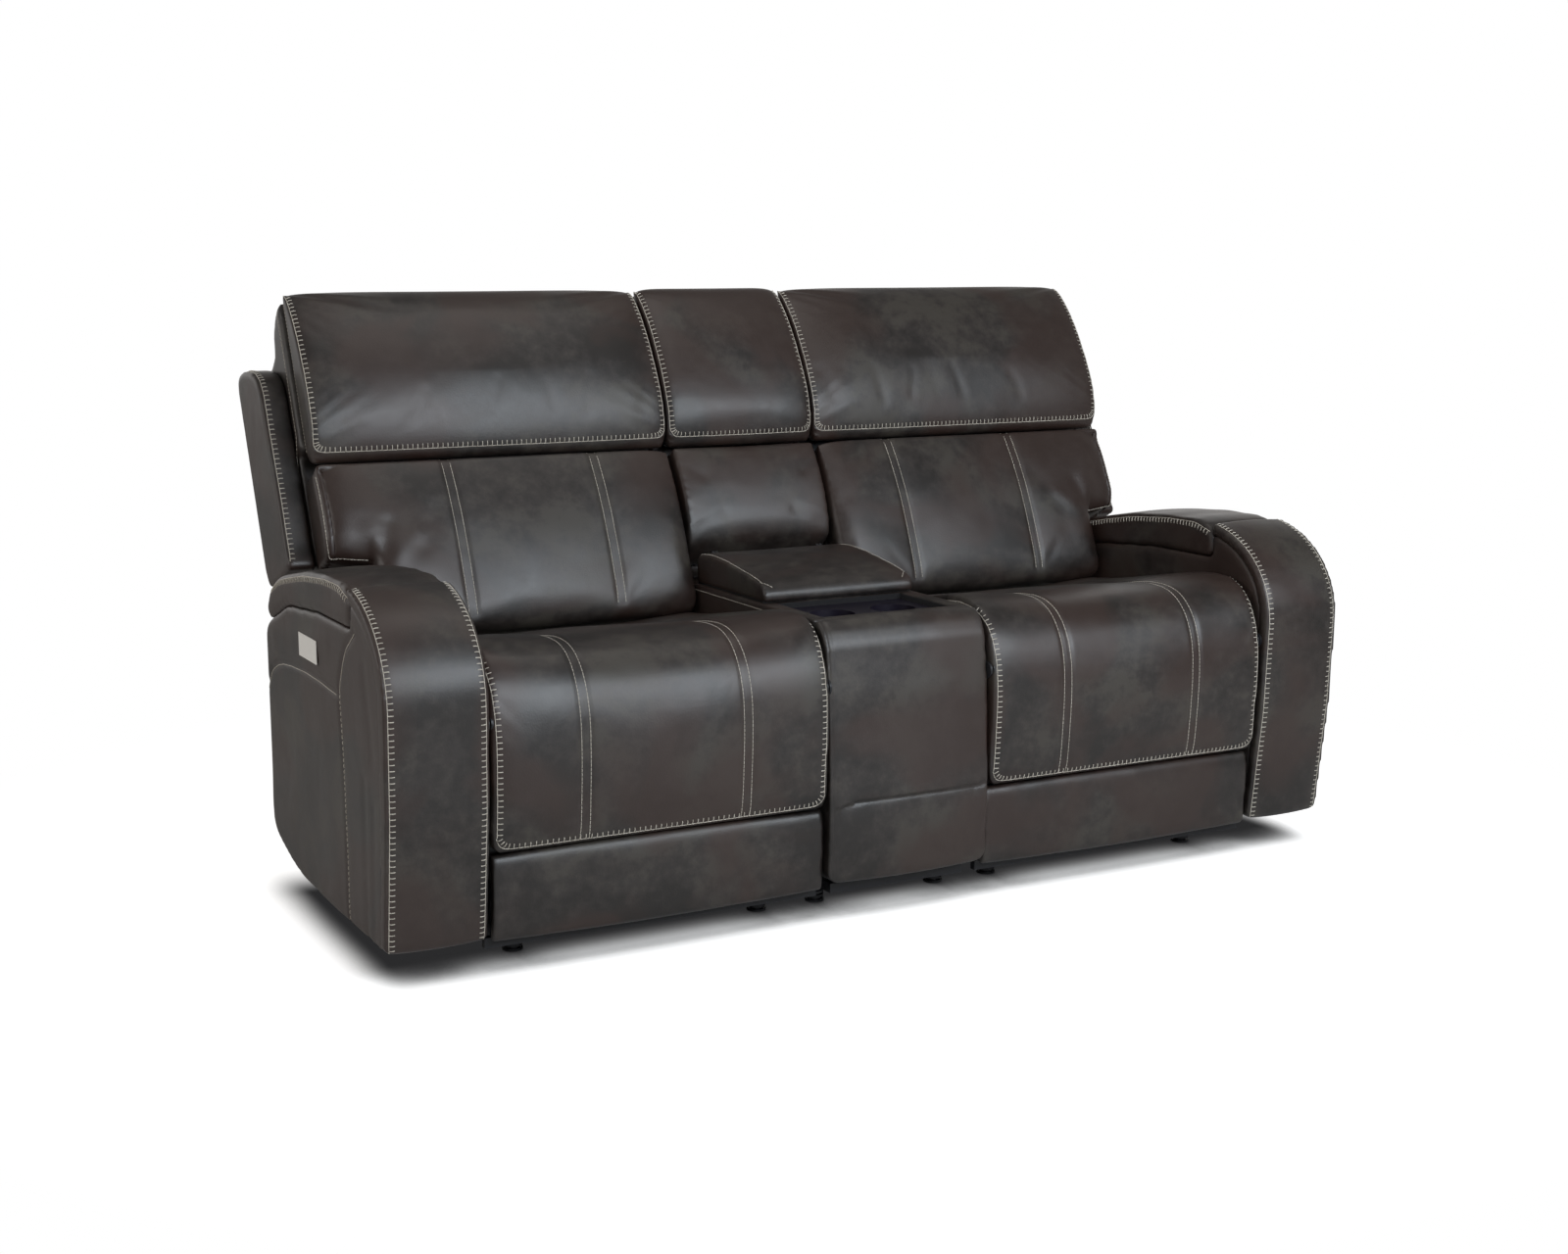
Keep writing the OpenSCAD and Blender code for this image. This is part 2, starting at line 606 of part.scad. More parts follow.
// Centre back, fixed to the console
centre_half = console_w / 2 - 2;
module centre_shell() color(leather) slab(-centre_half, centre_half) polygon(concat(
    [[frame_rear, 540], [frame_rear, 407]], bk_all(concat([[back_rear - 18, -10],
    [back_rear - 6, -10]], shell_top(back_rear, head_back + gap), [[shell_front, 130]]))));
module centre_lumbar() {
    front = lumbar_front + 27;
    P = bk_all([[front + 12, 156, 0.4], [shell_front - gap, 132, 0], [shell_front - gap, 250, 0],
        [shell_front - gap, head_base - 50, 0], [-50, head_base - 42, 0.2],
        [front + 30, head_base - 41, 0.5], [front + 10, head_base - 54, 0.9],
        [front + 2, head_base - 90, 1], [front, 250, 1], [front + 2, 200, 1], [front + 6, 168, 0.8]]);
    color(leather) soft_form(P, crowned(-centre_half, centre_half, 4, 7));
}
module centre_headrest() color(leather)
    soft_form(head_profile(), crowned(-centre_half, centre_half, 13, 6));

// Console
tray_x = 135;
tray_rear = lid_front;
box_front = 62;
pocket_z = rim_z - 100;
bin_z = 262;
bin_rear = lid_rear - 11;
module console_box() {
    w = console_w / 2;
    color(leather) difference() {
        block([-w, box_front, box_floor], [w, frame_rear, rim_z]);
        block([-tray_x, 85, pocket_z], [tray_x, tray_rear, rim_z + 1]);
        block([-w + box_t, lid_front + box_t, bin_z], [w - box_t, bin_rear, rim_z + 1]);
        block([-w + box_t, bin_rear + box_t, box_floor - 1], [w - box_t, frame_rear - box_t, rim_z - box_t]);
        block([-w + box_t, box_front + box_t, box_floor - 1], [w - box_t, bin_rear, bin_z - box_t]);
        block([-w + box_t, box_front + box_t, box_floor - 1],
            [w - box_t, tray_rear, pocket_z - box_t]);
    }
}
module console_front() {
    w = console_w / 2 - 8;
    back_y = box_front - gap;
    P = [[box_front - 44, 66, 0.3], [back_y, 66, 0], [back_y, 300, 0], [back_y, rim_z - 3, 0],
        [box_front - 12, rim_z - 2, 0.4], [box_front - 32, rim_z - 18, 1],
        [box_front - 42, rim_z - 45, 1], [box_front - 51, 400, 1], [box_front - 54, 300, 1],
        [box_front - 54, 220, 1], [box_front - 50, 207, 1], [box_front - 54, 194, 1],
        [box_front - 53, 120, 1], [box_front - 49, 76, 1]];
    color(leather) soft_form(P, crowned(-w, w, 2, 6));
}
cup_x = 66;
tray_top = rim_z - 13;
module console_tray() color(plastic) {
    cup_y = (85 + tray_rear) / 2;
    wall = 3;
    difference() {
        union() {
            block([-tray_x + gap, 85 + gap, tray_top - 5], [tray_x - gap, tray_rear - gap, tray_top]);
            both_sides() translate([cup_x, cup_y, tray_top - cup_depth - wall])
                cylinder(d = cup_d + 2 * wall, h = cup_depth);
        }
        both_sides() translate([cup_x, cup_y, tray_top - cup_depth]) cylinder(d = cup_d, h = cup_depth + 1);
    }
    both_sides()
        block([tray_x - 20, 85 + gap, pocket_z + gap], [tray_x - 15, tray_rear - gap, tray_top - 5]);
}

// Console lid: a board with hinge straps, under a crowned cushion
lid_hinge = [lid_rear + 9, rim_z + lid_t - 6];
lid_board_t = 10;
strap_x = 112;
strap_t = 6;
hinge_pin = 6;
module lid_board() color(plywood) {
    w = console_w / 2 - 8;
    block([-w, lid_front + 4, rim_z + gap], [w, lid_rear - 2, rim_z + gap + lid_board_t]);
    both_sides() {
        slab(strap_x, strap_x + strap_t) {
            translate(lid_hinge) circle(d = 13);
            polygon([[lid_rear - 2, rim_z + gap], [lid_hinge[0] + 3, rim_z + gap],
                lid_hinge + [5, 0], lid_hinge + [-6, 0], [lid_rear - 0.5, rim_z + gap + lid_board_t],
                [lid_rear - 2, rim_z + gap + lid_board_t]]);
        }
        rod(strap_x + 1, strap_x + 2 * strap_t + 2, lid_hinge, hinge_pin);
    }
}
module lid_cushion() {
    z0 = rim_z + 2 * gap + lid_board_t;
    z1 = rim_z + lid_t;
    P = [[lid_front, z0, 0], [400, z0, 0], [lid_rear - 1, z0, 0], [lid_rear - 1, z1 - 12, 0],
        [lid_rear - 8, z1 - 2, 0.3], [lid_rear - 60, z1, 1], [lid_rear - 124, z1 - 8, 1],
        [324, z1 - 23, 1], [lid_front + 14, z1 - 36, 1], [lid_front - 4, z0 + 6, 0.8]];
    color(leather) soft_form(P, crowned(-console_w / 2 + 2, console_w / 2 - 2, 4, 6));
}
module lid_hinges() color(steel) both_sides()
    slab(strap_x + strap_t + 1, strap_x + 2 * strap_t + 1) difference() {
    union() {
        translate(lid_hinge) circle(d = 13);
        polygon([[lid_hinge[0] - 4, rim_z], [lid_hinge[0] + 24, rim_z], lid_hinge + [6, 0],
            lid_hinge + [-5, -4]]);
    }
    translate(lid_hinge) circle(d = hinge_pin + 2 * run);
}

module rear_panel() color(leather) {
    w = seat_x + half_seat;
    block([-w, frame_rear + gap, floor_gap], [w, frame_rear + 12, 398]);
}

// Switches: a plate with two rockers, on the arm for one seat and on the console for the other
switch_size = [7, 96, 30];
rocker_half = [12, 9];
rocker_dy = 22;
rocker_x = 4.5;
left_switch = [-seat_x - half_seat, 330, arm_h - 84];
right_switch = [console_w / 2, 440, rim_z - 22];
module switch_plate() color(plastic) difference() {
    translate([0, -switch_size[1] / 2, -switch_size[2] / 2]) cube(switch_size);
    for (s = [-1, 1]) {
        translate([-1, s * rocker_dy - rocker_half[0] - 1, -rocker_half[1] - 0.5])
            cube([10, 2 * rocker_half[0] + 2, 2 * rocker_half[1] + 1]);
        translate([rocker_x, s * rocker_dy, 0]) rocker_pin(run);
    }
}
// The pin through a rocker: 3 mm of each end turns in the plate.
module rocker_pin(clear) cylinder(r = 1.5 + clear, h = 2 * rocker_half[1] + 6 + 2 * clear, center = true);
module rocker(s) color(zinc) translate([0, s * rocker_dy, 0]) {
    translate([0, 0, -rocker_half[1]]) linear_extrude(2 * rocker_half[1])
        polygon([[rocker_x - 2.5, -rocker_half[0]], [rocker_x + 3.5, -rocker_half[0]],
            [rocker_x + 2.8, 0], [rocker_x + 3.5, rocker_half[0]], [rocker_x - 2.5, rocker_half[0]]]);
    translate([rocker_x, 0, 0]) rocker_pin(0);
}
module label() color(linen) at_left() block(
    [arm_x0, label_at[0] - label_size[0] / 2, label_at[1] - label_size[1] / 2],
    [arm_x0 + label_t - 0.05, label_at[0] + label_size[0] / 2, label_at[1] + label_size[1] / 2]);

module switch_plates() put() {
    translate(left_switch) switch_plate();
    translate(right_switch) switch_plate();
}

at_left() arm();  // left_arm
at_right() arm();  // right_arm
at_left() arm_panel();  // left_arm_panel
at_right() arm_panel();  // right_arm_panel
at_left() arm_pad();  // left_arm_pad
at_right() arm_pad();  // right_arm_pad
at_left() seat_pad();  // left_seat_pad
at_right() seat_pad();  // right_seat_pad
at_left() chaise_pad();  // left_chaise_pad
at_right() chaise_pad();  // right_chaise_pad
at_left() kick_panel();  // left_kick_panel
at_right() kick_panel();  // right_kick_panel
at_left() footrest_board();  // left_footrest_board
at_right() footrest_board();  // right_footrest_board
at_left() seat_frame();  // left_seat_frame
at_right() seat_frame();  // right_seat_frame
both_seats() springs();  // seat_springs
both_seats() mechanism_plates();  // side_plates
base_rails();
glides();
at_left() drive_shaft();  // left_drive_shaft
at_right() drive_shaft();  // right_drive_shaft
at_left() push_links();  // left_push_links
at_right() push_links();  // right_push_links
both_seats() drive_unit();  // drive_units
at_left() footrest_ram();  // left_footrest_ram
at_right() footrest_ram();  // right_footrest_ram
at_left() recline_ram();  // left_recline_ram
at_right() recline_ram();  // right_recline_ram
at_left() back_frame();  // left_back_frame
at_right() back_frame();  // right_back_frame
at_left() lumbar();  // left_lumbar
at_right() lumbar();  // right_lumbar
at_left() back_shell();  // left_back_shell
at_right() back_shell();  // right_back_shell
at_left() bolster();  // left_bolster
at_right() bolster();  // right_bolster
at_left() wing();  // left_wing
at_right() wing();  // right_wing
at_left() headrest_board();  // left_headrest_board
at_right() headrest_board();  // right_headrest_board
at_left() headrest();  // left_headrest
at_right() headrest();  // right_headrest
put() centre_shell();
put() centre_lumbar();
put() centre_headrest();
put() rear_panel();
put() console_box();
put() console_front();
put() console_tray();
put() lid_board();
put() lid_cushion();
put() lid_hinges();
switch_plates();
put() translate(left_switch) rocker(-1);  // left_footrest_rocker
put() translate(left_switch) rocker(1);  // left_back_rocker
put() translate(right_switch) rocker(-1);  // right_footrest_rocker
put() translate(right_switch) rocker(1);  // right_back_rocker
label();
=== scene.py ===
import math

import bmesh
import bpy
import numpy as np
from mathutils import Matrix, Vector
from mathutils.bvhtree import BVHTree


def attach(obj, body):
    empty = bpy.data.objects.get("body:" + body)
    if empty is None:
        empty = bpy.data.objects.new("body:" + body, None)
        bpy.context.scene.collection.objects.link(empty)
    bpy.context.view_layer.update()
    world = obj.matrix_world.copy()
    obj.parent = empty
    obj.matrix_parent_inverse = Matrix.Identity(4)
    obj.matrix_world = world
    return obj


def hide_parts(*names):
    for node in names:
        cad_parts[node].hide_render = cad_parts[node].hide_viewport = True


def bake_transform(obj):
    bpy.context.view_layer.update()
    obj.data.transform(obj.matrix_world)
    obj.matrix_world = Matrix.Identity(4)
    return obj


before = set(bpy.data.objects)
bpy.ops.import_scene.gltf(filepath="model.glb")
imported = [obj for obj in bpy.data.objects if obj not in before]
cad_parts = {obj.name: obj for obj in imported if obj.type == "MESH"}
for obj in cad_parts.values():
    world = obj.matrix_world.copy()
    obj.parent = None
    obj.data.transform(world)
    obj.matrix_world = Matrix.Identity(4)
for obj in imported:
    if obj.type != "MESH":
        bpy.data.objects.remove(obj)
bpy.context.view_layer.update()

# Studio: a pale floor that runs into a white background, one large soft lamp in front and above,
# weaker ones at the left arm and overhead, and dim air all round.
scene = bpy.context.scene


def in_scene(name, data):
    """A new object, linked to the scene."""
    made = bpy.data.objects.new(name, data)
    scene.collection.objects.link(made)
    return made


camera = in_scene("camera", bpy.data.cameras.new("camera"))
camera.location = (-1.979356, -3.680910, 1.184915)
camera.rotation_euler = (math.pi / 2 - 0.174, 0, -0.493)
camera.data.lens = 48.62
camera.data.sensor_width = 36
scene.camera = camera
scene.view_settings.view_transform = "Standard"


def soft_lamp(name, at, towards, size, watts, colour):
    """A rectangular lamp, its size in metres, turned towards a point."""
    lamp = in_scene(name, bpy.data.lights.new(name, "AREA"))
    lamp.data.shape = "RECTANGLE"
    lamp.data.size, lamp.data.size_y = size
    lamp.data.energy = watts
    lamp.data.color = colour
    lamp.location = at
    lamp.rotation_euler = (Vector(towards) - Vector(at)).to_track_quat("-Z", "Y").to_euler()


soft_lamp("key_lamp", (0.42, -3.1, 1.90), (-0.2, 0.0, 0.65), (3.2, 1.2), 87, (0.86, 0.93, 1.0))
soft_lamp("side_lamp", (-3.2, -0.2, 1.5), (-0.9, 0, 0.5), (1.4, 1.2), 12, (1.0, 0.97, 0.94))
soft_lamp("top_lamp", (0.0, -0.2, 3.2), (0.0, -0.1, 0.6), (1.6, 1.2), 8, (1.0, 0.96, 0.92))


def hex_colour(code):
    """A colour written as sRGB hex, as the linear colour that a shader takes."""
    part = [int(code[i:i + 2], 16) / 255 for i in (1, 3, 5)]
    return tuple(c / 12.92 if c <= 0.04045 else ((c + 0.055) / 1.055) ** 2.4 for c in part) + (1.0,)


def add_node(tree, kind, settings=None, values=None):
    """One shader or geometry node: its own settings, and its sockets, each given a value, a socket
    to link, or a node, which stands for its first output."""
    node = tree.nodes.new(kind)
    for key, value in (settings or {}).items():
        setattr(node, key, value)
    for key, value in (values or {}).items():
        if isinstance(value, bpy.types.Node):
            value = value.outputs[0]
        if isinstance(value, bpy.types.NodeSocket):
            tree.links.new(value, node.inputs[key])
        else:
            node.inputs[key].default_value = value
    return node


def blank_material(name):
    """A new material with an empty node tree, and that tree."""
    made = bpy.data.materials.new(name)
    made.use_nodes = True
    made.node_tree.nodes.clear()
    return made, made.node_tree


world = bpy.data.worlds.new("studio_air")
scene.world = world
world.use_nodes = True
air = world.node_tree
air.nodes.clear()
ray = add_node(air, "ShaderNodeLightPath")
SMOOTH = {"interpolation_type": "SMOOTHSTEP"}
# A white backdrop stands behind the sofa: only the tops of its forms see it, at a low angle.
sky = add_node(air, "ShaderNodeTexCoord").outputs["Generated"]
heading = add_node(air, "ShaderNodeSeparateXYZ", values={"Vector": sky})
behind = add_node(air, "ShaderNodeMapRange", SMOOTH, {
    "Value": heading.outputs["Y"], 1: 0.1, 2: 0.8, 3: 0.0, 4: 0.85})
low = add_node(air, "ShaderNodeMapRange", SMOOTH, {
    "Value": heading.outputs["Z"], 1: 0.35, 2: 0.65, 3: 1.0, 4: 0.0})
backdrop = add_node(air, "ShaderNodeMath", {"operation": "MULTIPLY_ADD"}, {
    0: behind, 1: low, 2: 0.19})
lit = add_node(air, "ShaderNodeBackground", values={"Color": (1.0, 0.98, 0.96, 1), "Strength": backdrop})
seen = add_node(air, "ShaderNodeBackground", values={"Color": (1, 1, 1, 1), "Strength": 1.0})
choice = add_node(air, "ShaderNodeMixShader", values={
    "Fac": ray.outputs["Is Camera Ray"], 1: lit, 2: seen})
add_node(air, "ShaderNodeOutputWorld", values={"Surface": choice})

floor_mesh = bpy.data.meshes.new("studio_floor")
floor_mesh.from_pydata([(-30, -30, -0.001), (30, -30, -0.001), (30, 30, -0.001), (-30, 30, -0.001)],
                       [], [(0, 1, 2, 3)])
studio_floor = in_scene("studio_floor", floor_mesh)
pale, floor_tree = blank_material("matt white studio floor")
grit = add_node(floor_tree, "ShaderNodeTexNoise", values={"Scale": 3.0})
tone = add_node(floor_tree, "ShaderNodeMix", {"data_type": "RGBA"}, {
    "Factor": grit.outputs["Fac"], 6: hex_colour("#f8f6f3"), 7: hex_colour("#fcfaf7")})
chalk = add_node(floor_tree, "ShaderNodeBsdfDiffuse", values={"Color": tone.outputs[2]})
dull = add_node(floor_tree, "ShaderNodeBsdfDiffuse", values={"Color": hex_colour("#dad8d5")})
glow = add_node(floor_tree, "ShaderNodeEmission", values={"Color": (1, 1, 1, 1), "Strength": 0.80})
open_air = add_node(floor_tree, "ShaderNodeEmission", values={"Color": (1, 1, 1, 1), "Strength": 1.0})
sight = add_node(floor_tree, "ShaderNodeLightPath")
lifted = add_node(floor_tree, "ShaderNodeAddShader", values={0: chalk, 1: glow})
# The floor runs into the white background between 0.9 and 1.9 m from the sofa's middle.
spot_on_floor = add_node(floor_tree, "ShaderNodeTexCoord").outputs["Object"]
reach = add_node(floor_tree, "ShaderNodeVectorMath", {"operation": "LENGTH"}, {0: spot_on_floor})
fade = add_node(floor_tree, "ShaderNodeMapRange", SMOOTH, {
    "Value": reach.outputs["Value"], 1: 0.9, 2: 1.9})
bare = add_node(floor_tree, "ShaderNodeMixShader", values={
    "Fac": fade, 1: lifted, 2: open_air})
# Painted shadow: close under the sofa, where little light would find its way between the glides, the floor
# is painted dark by its own place on it. The painted shade starts a little inside the footprint and ends 190
# mm further out, or 95 mm at the sofa's ends.
SHADE_MIDDLE_Y, SHADE_HALF, SHADE_REACH = -0.1035, (0.94, 0.2335, 1), 0.19
past = spot_on_floor
for step, by in (("SUBTRACT", (0, SHADE_MIDDLE_Y, 0)), ("ABSOLUTE", (0, 0, 0)), ("SUBTRACT", SHADE_HALF),
                 ("MAXIMUM", (0, 0, 0)), ("MULTIPLY", (2, 1, 1))):
    past = add_node(floor_tree, "ShaderNodeVectorMath", {"operation": step}, {0: past, 1: by})
past_by = add_node(floor_tree, "ShaderNodeVectorMath", {"operation": "LENGTH"}, {0: past})
beside = add_node(floor_tree, "ShaderNodeMapRange", SMOOTH, {
    "Value": past_by.outputs["Value"], 1: 0.0, 2: SHADE_REACH})
# Painted shade also darkens the floor where ambient occlusion finds the sofa close above it, round the
# glides.
cover = add_node(floor_tree, "ShaderNodeAmbientOcclusion", {"samples": 16}, {"Distance": 0.10})
near_glide = add_node(floor_tree, "ShaderNodeMapRange", SMOOTH, {
    "Value": cover.outputs["AO"], 1: 0.25, 2: 0.75})
free_of_painted_shade = add_node(floor_tree, "ShaderNodeMath", {"operation": "MULTIPLY"}, {
    0: beside, 1: near_glide})
# The painted shadow: a flat dark emission shown on the floor where the footprint and occlusion masks fall to
# nought.
painted_shadow_tone = add_node(floor_tree, "ShaderNodeEmission", values={"Color": hex_colour("#2b2b2c"), "Strength": 1.0})
floor_with_painted_shadow = add_node(floor_tree, "ShaderNodeMixShader", values={
    "Fac": free_of_painted_shade, 1: painted_shadow_tone, 2: bare})
mixed = add_node(floor_tree, "ShaderNodeMixShader", values={
    "Fac": sight.outputs["Is Camera Ray"], 1: dull, 2: floor_with_painted_shadow})
add_node(floor_tree, "ShaderNodeOutputMaterial", values={"Surface": mixed})
floor_mesh.materials.append(pale)

# Arms: a plywood box under foam and leather. The outer side is sewn from panels, a padded pad
# lies on top, and a waterfall panel runs up the front and back over the arch with whipped edges.
FOOT_Y = -0.483184
ARM_OUT, ARM_IN = -0.990, -0.812


def yz(points):
    """Side-profile points in millimetres, Y from the arm's foot, as metres in the sofa's frame."""
    return [(p[0] / 1000 + FOOT_Y, p[1] / 1000) for p in points]


def cut_pattern(points, radius, step=0.006):
    """A closed outline with its corners rounded to the radius and points about a step apart."""
    n, out = len(points), []
    for i in range(n):
        a, b, c = (Vector(points[(i + k) % n]) for k in (-1, 0, 1))
        back, on = a - b, c - b
        r = min(radius, back.length * 0.45, on.length * 0.45)
        p, q = b + back.normalized() * r, b + on.normalized() * r
        out += [(1 - t) ** 2 * p + 2 * t * (1 - t) * b + t * t * q for t in (0, 0.25, 0.5, 0.75, 1)]
    line, m = [], len(out)
    for i in range(m):
        p, q = out[i], out[(i + 1) % m]
        k = max(1, round((q - p).length / step))
        if (q - p).length > 1e-6:
            line += [p.lerp(q, j / k) for j in range(k)]
    return line


def extruded(name, outlines):
    """One mesh of side outlines drawn out along X: each is (outline, x0, x1)."""
    work = bmesh.new()
    for outline, x0, x1 in outlines:
        near = [work.verts.new((x0, p[0], p[1])) for p in outline]
        far = [work.verts.new((x1, p[0], p[1])) for p in outline]
        n = len(outline)
        work.faces.new(near)
        work.faces.new(far[::-1])
        for i in range(n):
            j = (i + 1) % n
            work.faces.new((near[i], far[i], far[j], near[j]))
    bmesh.ops.triangulate(work, faces=[f for f in work.faces if len(f.verts) > 4])
    bmesh.ops.recalc_face_normals(work, faces=work.faces)
    mesh = bpy.data.meshes.new(name)
    work.to_mesh(mesh)
    work.free()
    return in_scene(name, mesh)


def settled(piece):
    """The piece with its modifiers made part of its mesh."""
    bpy.context.view_layer.update()
    seen_as = piece.evaluated_get(bpy.context.evaluated_depsgraph_get())
    mesh = bpy.data.meshes.new_from_object(seen_as)
    piece.modifiers.clear()
    old = piece.data
    piece.data = mesh
    bpy.data.meshes.remove(old)
    mesh.name = piece.name
    mesh.shade_smooth()
    return piece


def upholstered(piece, voxel=0.006, rounds=8):
    """Foam corners: the sharp block is remeshed and eased, which rounds every edge."""
    remesh = piece.modifiers.new("skin", "REMESH")
    remesh.mode, remesh.voxel_size = "VOXEL", voxel
    ease = piece.modifiers.new("ease", "SMOOTH")
    ease.factor, ease.iterations = 0.5, rounds
    return settled(piece)


def points_of(piece):
    co = np.empty(len(piece.data.vertices) * 3)
    piece.data.vertices.foreach_get("co", co)
    return co.reshape(-1, 3)


def normals_of(piece):
    no = np.empty(len(piece.data.vertices) * 3)
    piece.data.vertex_normals.foreach_get("vector", no)
    return no.reshape(-1, 3)


def put_points(piece, co):
    piece.data.vertices.foreach_set("co", co.ravel())
    piece.data.update()


def distance_to(co, line):
    """Each point's distance to a line of points."""
    line = np.array(line, float)
    best = np.full(len(co), 1e9)
    for a, b in zip(line[:-1], line[1:]):
        ab = b - a
        t = np.clip((co - a) @ ab / max(ab @ ab, 1e-12), 0, 1)
        best = np.minimum(best, np.linalg.norm(co - a - t[:, None] * ab, axis=1))
    return best


def pressed(piece, line, width, depth):
    """A seam or fold pressed into the skin along a line; a negative depth raises it."""
    co = points_of(piece)
    fall = np.exp(-(distance_to(co, line) / width) ** 2)
    put_points(piece, co - normals_of(piece) * (depth * fall)[:, None])


def swollen(piece, amount, x0, x1):
    """Foam crown: the skin stands out most half-way between x0 and x1."""
    co = points_of(piece)
    s = np.clip((2 * co[:, 0] - x0 - x1) / (x1 - x0), -1, 1)
    out = normals_of(piece) * (amount * (1 - s * s))[:, None]
    out[:, 0] = 0
    put_points(piece, co + out)


def eased_ends(piece, x0, x1, amount, power=8):
    """The skin drawn down towards the sewn ends, as a filled cover is."""
    co = points_of(piece)
    s = np.abs(np.clip((2 * co[:, 0] - x0 - x1) / (x1 - x0), -1, 1))
    no = normals_of(piece)
    out = no * (-amount * s ** power * np.clip(1.3 + 1.6 * no[:, 2], 0, 1))[:, None]
    out[:, 0] = 0
    put_points(piece, co + out)


def rounded_corners(piece, x_mid, half, z_low, radius):
    """The cover's lower corners, cut round."""
    co = points_of(piece)
    x, z = np.abs(co[:, 0] - x_mid) - (half - radius), (z_low + radius) - co[:, 2]
    far = np.hypot(x, z)
    at = (x > 0) & (z > 0) & (far > radius)
    pull = radius / np.maximum(far, 1e-9)
    side = np.sign(co[:, 0] - x_mid)
    co[at, 0] = (x_mid + side * (half - radius + x * pull))[at]
    co[at, 2] = (z_low + radius - z * pull)[at]
    put_points(piece, co)


def both_ends(piece):
    """The piece at the left end and its mirror image for the right end, each with its side."""
    twin = in_scene(piece.name.replace("left", "right"), piece.data.copy())
    co = points_of(twin)
    co[:, 0] *= -1
    put_points(twin, co)
    twin.data.flip_normals()
    return [("left", piece), ("right", twin)]


# Where thread goes: each entry of SEWN is a body or a blended cover, with its stitches.
SEWN = {}
WHIP_BAR = 0.0095


def on_skin(piece):
    work = bmesh.new()
    work.from_mesh(piece.data)
    tree = BVHTree.FromBMesh(work)
    work.free()
    return tree


def sew(holder, kind, skin, line, pitch=0.0072, lift=0.0004, inward=None):
    """Stitches of a kind along a line laid on a skin, at a pitch and a lift off the skin, kept for
    the thread section. Whip stitches lie across the line, on the side of it that the inward point is."""
    line = [Vector(p) for p in line]
    lengths = [0.0]
    for a, b in zip(line[:-1], line[1:]):
        lengths.append(lengths[-1] + (b - a).length)
    count = max(2, round(lengths[-1] / pitch))
    spots, k = [], 0
    for i in range(count + 1):
        d = lengths[-1] * i / count
        while k < len(line) - 2 and lengths[k + 1] < d:
            k += 1
        span = max(lengths[k + 1] - lengths[k], 1e-9)
        spot, normal, _, _ = skin.find_nearest(line[k].lerp(line[k + 1], (d - lengths[k]) / span))
        spots.append((spot, normal))
    for _ in range(3):
        spots = [spots[0]] + [((a[0] + b[0] * 2 + c[0]) / 4, (a[1] + b[1] * 2 + c[1]).normalized())
                              for a, b, c in zip(spots, spots[1:], spots[2:])] + [spots[-1]]
    found = SEWN.setdefault((holder, kind), [])
    for i, (spot, normal) in enumerate(spots[:-1]):
        after, other = spots[i + 1]
        run = after - spot
        if 0.3 * pitch < run.length < 3 * pitch:
            up = (normal + other).normalized()
            at, way = (spot + after) / 2, run.normalized()
            if inward is not None:
                across = up.cross(way)
                if across.dot(Vector(inward) - at) < 0:
                    across.negate()
                tip, tip_up, _, _ = skin.find_nearest(at + across * WHIP_BAR)
                middle = (at + tip) / 2 + up * lift
                found.append((middle, (tip - at).normalized(), (up + tip_up).normalized()))
            else:
                found.append((at + up * lift, way, up))


def blanket_stitch(holder, skin, line, inward):
    """A thread along the edge with a short bar inwards from it every 10 mm."""
    sew(holder, "line", skin, line, 0.0055, 0.0002)
    sew(holder, "whip", skin, line, 0.0100, 0.0003, inward)


def at_end(side, line):
    """A line at the left end of the sofa, or its mirror image at the right end."""
    return line if side == "left" else [(-p[0], p[1], p[2]) for p in line]


def arch(t, a0=180, a1=90, n=14):
    """The arm's arch, t inside its outer skin, as side-profile points in millimetres."""
    return [(196 + (216 - t) * math.cos(math.radians(a0 + (a1 - a0) * i / n)),
             468 + (182 - t) * math.sin(math.radians(a0 + (a1 - a0) * i / n))) for i in range(n + 1)]


def whip_over(t):
    """The panel's face from the foot to the arch's rear end."""
    return [(16 + t, 60), (-12 + t, 287)] + [p for p in arch(t) if p[0] < 158]


def arch_top(y, t):
    return 468 + (182 - t) * math.sqrt(1 - ((196 - y) / (216 - t)) ** 2)


crease = [(158, 577), (360, 577), (545, 562), (672, 517), (700, 500)]
arm_outline = whip_over(22) + [(158, arch_top(158, 26))] + crease + [
    (700, 150), (696, 128), (682, 111), (655, 98), (622, 87), (585, 76), (540, 67), (480, 61), (420, 60)]
panel_outline = whip_over(0) + [(158, arch_top(158, 0)), (158, arch_top(158, 24))] + [
    p for p in whip_over(24)[::-1]]
pad_outline = [(160, 577.5), (360, 577.5), (545, 562.5), (672, 517.5), (688, 540), (654, 584),
               (596, 608), (520, 623), (429, 638), (308, 649), (219, 650), (179, 643), (160, 622)]

